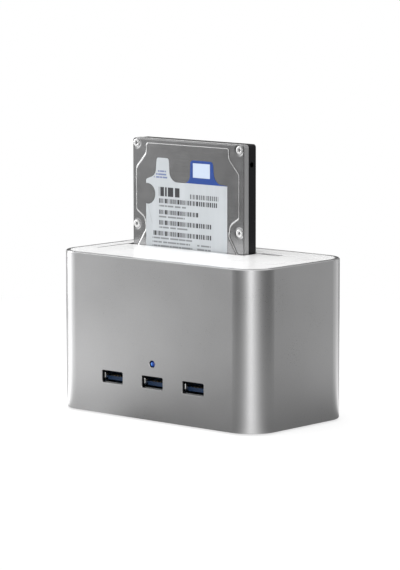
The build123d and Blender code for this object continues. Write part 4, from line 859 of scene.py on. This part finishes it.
@dataclass
class DriveFace:
    """Stamped lid of the small drive and the screws in it, in millimetres.

    The outline's corners are half width, distance below the top and radius. Screw rows are
    distances below the top, and the rim's places are distances from the lid's edge.
    """

    left: float = -50.2
    top: float = 127.2
    width: float = 69.85
    length: float = 100.2
    inset: float = 0.2
    corner: float = 1.3
    flat_y: float = 7.4
    raised_y: float = 7.0
    sheet: float = 0.6
    side_fold: float = 0.12
    end_fold: float = 0.34
    bead_r: float = 0.17
    bead_sink: float = 0.08
    step: float = 0.2
    screw_inset: float = 2.5
    screw_rows: tuple[float, ...] = (2.505, 41.38, 97.7)
    dish: float = 0.16
    dish_r: float = 2.7
    head_r: float = 1.9
    socket_r: float = 0.92
    socket_lobe: float = 0.17
    pitch: float = 0.42
    margin: float = 1.0
    rim: tuple[float, ...] = (0.0, 0.02, 0.06, 0.12, 0.2, 0.34, 0.6)
    outline: tuple[tuple[float, float, float], ...] = (
        (25.9, 2.2, 1.1), (25.9, 7.0, 4.0), (32.3, 14.0, 2.6), (32.3, 34.5, 1.6), (27.2, 37.8, 3.4), (26.0, 43.2, 4.0),
        (32.3, 53.1, 3.0), (32.3, 86.2, 3.0), (27.2, 92.7, 3.0), (27.2, 98.2, 1.5),
    )

    def screw_places(self) -> np.ndarray:
        """Places of the screws as X and Z."""
        sides = (self.left + self.screw_inset, self.left + self.width - self.screw_inset)
        return np.array([(x, self.top - down) for down in self.screw_rows for x in sides])

    def stamped(self) -> np.ndarray:
        """Stamped outline as X and Z, both halves in one closed line with rounded corners."""
        side = np.array(self.outline)
        middle = self.left + self.width / 2
        right = np.stack((middle + side[:, 0], self.top - side[:, 1], side[:, 2]), axis=1)
        left = np.stack((middle - side[::-1, 0], self.top - side[::-1, 1], side[::-1, 2]), axis=1)
        corners = np.concatenate((right, left))
        return rounded(corners[:, :2], corners[:, 2])

    def bead(self, material: bpy.types.Material) -> bpy.types.Object:
        """Raised bead along the stamped outline: a half circle carried along it.

        Args:
            material: Material of the bead.

        Returns:
            The bead.
        """
        path = self.stamped()
        along = np.roll(path, -1, axis=0) - np.roll(path, 1, axis=0)
        along /= np.hypot(along[:, 0], along[:, 1])[:, None]
        angle = np.linspace(-0.5 * np.pi, 0.5 * np.pi, 11)[:, None]
        across = self.bead_r * np.sin(angle)
        x = path[:, 0] + across * along[:, 1]
        z = path[:, 1] - across * along[:, 0]
        base = (self.flat_y + self.raised_y) / 2 - self.bead_sink * self.bead_r
        ring = np.broadcast_arrays(x, base - self.bead_r * np.cos(angle), z)
        piece = grid_piece("drive_lid_bead", np.stack(ring, axis=-1)[None], True, material)
        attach(piece, "drive")
        return piece

    def lines(self, half: float, steps: Sequence[float]) -> np.ndarray:
        """Places of the grid's lines: close together at both rims, even between, and at each step of the sheet.

        Args:
            half: Half the lid's size in this direction.
            steps: Places of the steps, from the lower rim.

        Returns:
            The places, from the lid's middle.
        """
        rim = np.array(self.rim)
        between = np.union1d(np.arange(self.margin, 2 * half - self.margin, self.pitch), steps)
        return np.concatenate((rim, between, 2 * half - rim[::-1])) - half

    def lid(self, material: bpy.types.Material) -> bpy.types.Object:
        """Lid as a height over its face.

        Past the start of a rounded corner, a grid point is pulled in to max(a, b) / hypot(a, b) of its
        way (a, b), which turns the square corner into a round one. With d the distance to the stamped
        outline, the height rises by the raised depth where d goes from minus to plus half the step.
        Near the rim, where e is the distance to it, it falls by fold - sqrt(fold squared - (fold - e)
        squared), with a wider fold at the ends than at the sides. Each screw has a dish round it.

        Args:
            material: Material of the lid.

        Returns:
            The lid.
        """
        half_w, half_l = self.width / 2 - self.inset, self.length / 2 - self.inset
        middle_x, middle_z = self.left + self.width / 2, self.top - self.length / 2
        halves, downs = {corner[0] for corner in self.outline}, (self.outline[0][1], self.outline[-1][1])
        ways = (-0.5 * self.step, 0.5 * self.step)
        sides = [half_w + sign * half + way for half in halves for sign in (-1, 1) for way in ways]
        ends = [2 * half_l + self.inset - down + way for down in downs for way in ways]
        x, z = np.meshgrid(self.lines(half_w, sides), self.lines(half_l, ends))
        cx, cz = half_w - self.corner, half_l - self.corner
        out_x, out_z = np.maximum(abs(x) - cx, 0.0), np.maximum(abs(z) - cz, 0.0)
        reach = np.hypot(out_x, out_z)
        pull = np.where(reach > 0, np.maximum(out_x, out_z) / np.maximum(reach, 1e-9), 1.0)
        x = np.where((out_x > 0) & (out_z > 0), np.sign(x) * (cx + out_x * pull), x)
        z = np.where((out_x > 0) & (out_z > 0), np.sign(z) * (cz + out_z * pull), z)
        corner_edge = self.corner - np.hypot(np.maximum(abs(x) - cx, 0.0), np.maximum(abs(z) - cz, 0.0))
        side_edge = np.minimum(half_w - abs(x), corner_edge)
        end_edge = half_l - abs(z)
        x, z = x + middle_x, z + middle_z
        inner = signed_distance(x, z, self.stamped())
        y = self.flat_y - (self.flat_y - self.raised_y) * smoothstep(inner, -self.step / 2, self.step / 2)
        for fold, margin in ((self.side_fold, side_edge), (self.end_fold, end_edge)):
            fall = np.clip(fold - margin, 0.0, fold)
            y += fold - np.sqrt(np.maximum(fold**2 - fall**2, 0.0))
        for sx, sz in self.screw_places():
            y += self.dish * smoothstep(np.hypot(x - sx, z - sz), self.dish_r, self.dish_r - 0.5)
        piece = grid_piece("drive_lid_shell", np.stack((x, y, z), axis=-1)[None], False, material)
        thicken(piece, self.sheet)
        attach(piece, "drive")
        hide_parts("drive_cover")
        return piece

    def screws(self, material: bpy.types.Material) -> bpy.types.Object:
        """Six flat heads, each a profile carried round its axis.

        The profile's rows are radius, depth and whether the radius is the socket's, which is
        r * (1 + lobe * cos(6 * angle)); the rest of the profile is round.

        Args:
            material: Material of the screws.

        Returns:
            The screws.
        """
        angle = np.linspace(0.0, 2 * np.pi, 72, endpoint=False)
        profile = np.array([
            (0.0, 0.1, 0), (self.head_r, 0.1, 0), (self.head_r, -0.2, 0), (self.head_r - 0.06, -0.3, 0),
            (self.head_r - 0.2, -0.37, 0), (self.head_r - 0.45, -0.4, 0), (self.socket_r + 0.1, -0.4, 1),
            (self.socket_r, -0.37, 1), (self.socket_r - 0.05, -0.3, 1), (self.socket_r - 0.1, 0.02, 1),
            (0.4, 0.06, 0), (0.0, 0.08, 0),
        ])
        radius = profile[:, 0][:, None] * (1.0 + profile[:, 2][:, None] * self.socket_lobe * np.cos(6 * angle))
        depth = np.broadcast_to(profile[:, 1][:, None], radius.shape)
        base = self.flat_y + self.dish
        heads = [
            np.stack((x + radius * np.cos(angle), base + depth, z + radius * np.sin(angle)), axis=-1)
            for x, z in self.screw_places()
        ]
        piece = grid_piece("drive_lid_screws", np.stack(heads), True, material)
        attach(piece, "drive")
        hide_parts("drive_cover_screws")
        return piece


@dataclass
class SocketSprings:
    """Side springs pressed in from the walls of each front socket, in millimetres."""

    middles: tuple[float, ...] = (-25.2, 0.0, 25.2)
    front: float = -33.1
    wall: float = 6.22
    middle_z: float = 18.75
    height: float = 3.4
    length: float = 3.6
    bulge: float = 0.5
    sheet: float = 0.12
    lean: float = 0.62
    flatness: float = 0.8
    taper: float = 0.25

    def build(self, material: bpy.types.Material) -> bpy.types.Object:
        """Leaves whose distance from the wall is bulge * sin(pi * t^lean)^flatness, tapered along t.

        Args:
            material: Material of the springs.

        Returns:
            The springs.
        """
        t = np.linspace(0.0, 1.0, 25)[:, None]
        s = np.linspace(-0.5, 0.5, 5)[None, :]
        out = self.bulge * np.sin(np.pi * t**self.lean) ** self.flatness
        y = self.front + self.length * t
        z = self.middle_z + self.height * s * (1.0 - self.taper * t)
        patches = []
        for middle in self.middles:
            for side in (-1, 1):
                leaf = np.stack(np.broadcast_arrays(middle + side * (self.wall - out), y, z), axis=-1)
                patches.append(leaf if side < 0 else leaf[:, ::-1])
        piece = grid_piece("socket_side_springs", np.stack(patches), False, material)
        thicken(piece, self.sheet)
        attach(piece, "station")
        return piece


@dataclass
class Viewpoint:
    """Camera found from the photograph's straight edges, in millimetres and degrees."""

    azimuth: float = 41.513
    elevation: float = 7.526
    roll: float = -0.081
    distance: float = 1447.131
    across: float = -0.714
    up: float = 59.503
    lift: float = 0.8
    lens: float = 193.76
    sensor: float = 36.0
    sight: float = 60.0

    def build(self) -> bpy.types.Object:
        """Camera at the viewpoint.

        Returns:
            The camera's object.
        """
        turn, tilt, roll = (math.radians(angle) for angle in (self.azimuth, self.elevation, self.roll))
        back = Vector((math.sin(turn) * math.cos(tilt), -math.cos(turn) * math.cos(tilt), math.sin(tilt)))
        right = Vector((math.cos(turn), math.sin(turn), 0.0))
        upward = back.cross(right)
        rolled_right = right * math.cos(roll) + upward * math.sin(roll)
        rolled_up = upward * math.cos(roll) - right * math.sin(roll)
        place = back * self.distance + rolled_right * self.across + rolled_up * self.up
        place.z += self.lift
        data = bpy.data.cameras.new("viewpoint")
        data.sensor_fit = "VERTICAL"
        data.sensor_height = self.sensor
        data.lens = self.lens
        data.clip_end = self.sight
        camera = bpy.data.objects.new("viewpoint", data)
        bpy.context.collection.objects.link(camera)
        axes = Matrix((rolled_right, rolled_up, back)).transposed()
        camera.matrix_world = Matrix.Translation(place * MM) @ axes.to_4x4()
        bpy.context.scene.camera = camera
        log.info("camera at %s", [round(part, 4) for part in camera.matrix_world.translation])
        return camera


@dataclass(frozen=True)
class Lamp:
    """Soft area lamp that faces the object, in degrees, metres and watts."""

    name: str
    azimuth: float
    elevation: float
    distance: float
    width: float
    height: float
    power: float
    mirrored: bool = True

    def build(self, target: Vector) -> None:
        """Add the lamp.

        Args:
            target: Point that it faces.
        """
        turn, tilt = math.radians(self.azimuth), math.radians(self.elevation)
        away = Vector((math.sin(turn) * math.cos(tilt), -math.cos(turn) * math.cos(tilt), math.sin(tilt)))
        data = bpy.data.lights.new(self.name, "AREA")
        data.shape = "RECTANGLE"
        data.size = self.width
        data.size_y = self.height
        data.energy = self.power
        lamp = bpy.data.objects.new(self.name, data)
        lamp.visible_camera = False
        lamp.visible_glossy = self.mirrored
        lamp.location = target + away * self.distance
        lamp.rotation_euler = away.to_track_quat("Z", "Y").to_euler()
        bpy.context.collection.objects.link(lamp)


@dataclass(frozen=True)
class Card:
    """Pale card that metal reflects, or a dark one where its level is negative.

    It is a soft bump of brightness round an azimuth. On the floor, the azimuth is taken round the
    card's corner, and a grounded card isn't dimmed by the painted contact shadow beside the object.
    """

    azimuth: float
    spread: float
    level: float
    corner: tuple[float, float] = (0.0, 0.0)
    grounded: bool = False

    def brightness(self, x: Signal, y: Signal, near: float) -> Signal:
        """Level * exp((cos(turn) - 1) / (1 - cos(spread))), with the turn away from the card.

        Args:
            x: Place or direction along X.
            y: Place or direction along Y.
            near: One for a place on the floor and zero for a direction.

        Returns:
            The brightness.
        """
        x, y = x - self.corner[0] * near, y - self.corner[1] * near
        reach = (x * x + y * y).math("SQRT").math("MAXIMUM", 1e-4)
        turn = math.radians(self.azimuth)
        cosine = (x * math.sin(turn) - y * math.cos(turn)) / reach
        sharp = 1.0 / (1.0 - math.cos(math.radians(self.spread)))
        return ((cosine - 1.0) * sharp).math("EXPONENT") * self.level


@dataclass
class Studio:
    """Pale floor, white surroundings, soft lamps and the cards that metal reflects.

    Levels are brightnesses, where 1 is white. On the floor, the reach is in metres, and the
    shadow's reach, the contact shadow's and the table's edge are in millimetres from the object or its
    middle. The contact shadow is a painted shadow: it lowers the floor's brightness for metal beside the object.
    The wall's top and the ceiling are sines of the elevation between which each changes.
    """

    reach: float = 14.0
    pale: Colour = (0.86, 0.86, 0.86)
    ambient: float = 0.3
    shadow: float = 0.25
    shadow_reach: tuple[float, float] = (150.0, 420.0)
    base_level: float = 0.41
    contact_shadow_level: float = 0.62
    contact_shadow_reach: float = 130.0
    table: tuple[float, float] = (290.0, 370.0)
    beyond: float = 0.42
    wall_top: tuple[float, float] = (0.3, 0.6)
    above_wall: float = 0.25
    ceiling: tuple[float, float] = (0.45, 0.9)
    overhead: float = 1.1
    middle: tuple[float, float, float] = (0.0, 0.0, 0.045)
    lamps: Sequence[Lamp] = (
        Lamp("top_soft", -30.0, 78.0, 1.5, 2.3, 2.3, 57.0, False),
        Lamp("front_left_soft", -58.0, 10.0, 1.6, 0.8, 1.0, 2.5),
        Lamp("edge_strip_right", 38.0, 8.0, 1.8, 0.5, 1.3, 7.0),
        Lamp("edge_strip_left", -88.0, 8.0, 1.3, 0.35, 1.3, 12.0),
    )
    front_card: Card = Card(-49.0, 18.0, 0.7)
    cards: Sequence[Card] = (
        Card(41.0, 27.5, 0.86, (49.0, -21.0), True),
        Card(-76.5, 17.5, 2.1, (-49.0, -21.0), True),
        Card(146.0, 14.0, 0.5, (0.0, 0.0), True),
        Card(173.0, 12.0, 0.92, (49.0, 21.0), True),
        Card(222.0, 14.0, -0.26, (-49.0, -21.0)),
    )

    def surroundings(self, x: Signal, y: Signal, near: float, table: Number, contact_shadow: Number) -> Signal:
        """Brightness that metal sees in a direction: an even base and the cards.

        Args:
            x: Place or direction along X.
            y: Place or direction along Y.
            near: One for a place on the floor and zero for a direction.
            table: Share that is left of the base and of the card in front.
            contact_shadow: Painted contact shadow, the share that is left beside the object, but for the cards that
                reach the ground.

        Returns:
            The brightness.
        """
        total = (self.front_card.brightness(x, y, near) + self.base_level) * table * contact_shadow
        for card in self.cards:
            level = card.brightness(x, y, near)
            total = total + (level if card.grounded else level * contact_shadow)
        return total

    def beside(self, x: Signal, y: Signal) -> Signal:
        """Distance from the object's footprint in millimetres: the length of what lies past its box.

        Args:
            x: Millimetres along X.
            y: Millimetres along Y.

        Returns:
            The distance.
        """
        low, high = CAD_BOX
        past = []
        for axis, place in enumerate((x, y)):
            middle, half = (low[axis] + high[axis]) / 2 / MM, (high[axis] - low[axis]) / 2 / MM
            past.append((abs(place - middle) - half).math("MAXIMUM", 0.0))
        return (past[0] * past[0] + past[1] * past[1]).math("SQRT")

    def rays(self, graph: Graph) -> tuple[Signal, Signal]:
        """Masks of the rays from the camera and of those from glossy or clear surfaces."""
        path = graph.node("ShaderNodeLightPath")
        mirrored = (path.out(Lobe.GLOSSY.value) + path.out(Lobe.CLEAR.value)).math("MINIMUM", 1.0)
        return path.out(Lobe.SEEN.value), mirrored

    def floor(self) -> None:
        """Flat pale floor that keeps the object's shadow."""
        reach = self.reach
        corners = np.array([(-reach, -reach, 0), (reach, -reach, 0), (reach, reach, 0), (-reach, reach, 0)])
        mesh = bpy.data.meshes.new("floor")
        mesh.from_pydata(corners.tolist(), [], [(0, 1, 2, 3)])
        floor = bpy.data.objects.new("floor", mesh)
        bpy.context.collection.objects.link(floor)
        made = bpy.data.materials.new("floor")
        made.use_nodes = True
        graph = Graph(made.node_tree)
        lit = graph.node("ShaderNodeBsdfDiffuse", None, {"Color": (*self.pale, 1.0)})
        seen, mirrored = self.rays(graph)
        x, y, _ = graph.axes()
        away = (x * x + y * y).math("SQRT")
        share = seen * (away.ramp(*self.shadow_reach) * self.shadow + (1.0 - self.shadow)) + mirrored
        table = away.ramp(*self.table, 1.0, self.beyond)
        # painted contact shadow: the floor's brightness as metal sees it is lowered beside the object
        contact_shadow = self.beside(x, y).ramp(0.0, self.contact_shadow_reach, self.contact_shadow_level, 1.0)
        level = seen + mirrored * self.surroundings(x, y, 1.0, table, contact_shadow)
        white = graph.node("ShaderNodeEmission", None, {"Color": (1.0, 1.0, 1.0, 1.0), "Strength": level})
        mixed = graph.node("ShaderNodeMixShader", None, {0: share, 1: lit.out(), 2: white.out()})
        graph.finish(mixed)
        mesh.materials.append(made)

    def world(self) -> None:
        """White where it is seen, a dim even grey as light, and the cards and a pale ceiling for metal."""
        made = bpy.data.worlds.new("surroundings")
        bpy.context.scene.world = made
        made.use_nodes = True
        graph = Graph(made.node_tree)
        seen, mirrored = self.rays(graph)
        direction = graph.node("ShaderNodeTexCoord").out("Generated")
        split = graph.node("ShaderNodeSeparateXYZ", None, {0: direction})
        height = split.out(2)
        around = self.surroundings(split.out(0), split.out(1), 0.0, 1.0, 1.0)
        around = around * height.ramp(*self.wall_top, 1.0, self.above_wall)
        around = around + height.ramp(*self.ceiling) * self.overhead
        light = (1.0 - seen) * (1.0 - mirrored) * self.ambient
        strength = seen + light + mirrored * (1.0 - seen) * around
        shade = graph.node("ShaderNodeBackground", None, {"Color": (1.0, 1.0, 1.0, 1.0), "Strength": strength})
        graph.finish(shade, "ShaderNodeOutputWorld")

    def build(self) -> None:
        """Add the floor, the world and the lamps."""
        self.floor()
        self.world()
        for lamp in self.lamps:
            lamp.build(Vector(self.middle))
        bpy.context.scene.view_settings.view_transform = "Standard"
        log.info("studio with %d lamps", len(self.lamps))


def main() -> None:
    """Build the studio, dress the solids and add the pieces that replace some of them."""
    logging.basicConfig(level=logging.INFO, format="%(name)s: %(message)s")
    Viewpoint().build()
    Studio().build()
    solids = CarriedNodes(FINISHES)
    solids.dress()
    face = DriveFace()
    face.lid(solids.materials["drive_lid"])
    # the bead is part of the lid's sheet but gets the brighter screw metal: a painted highlight along the stamped
    # outline
    face.bead(solids.materials["bright_screw"])
    face.screws(solids.materials["bright_screw"])
    SocketSprings().build(solids.materials["socket_steel"])


if __name__ == "__main__":
    main()
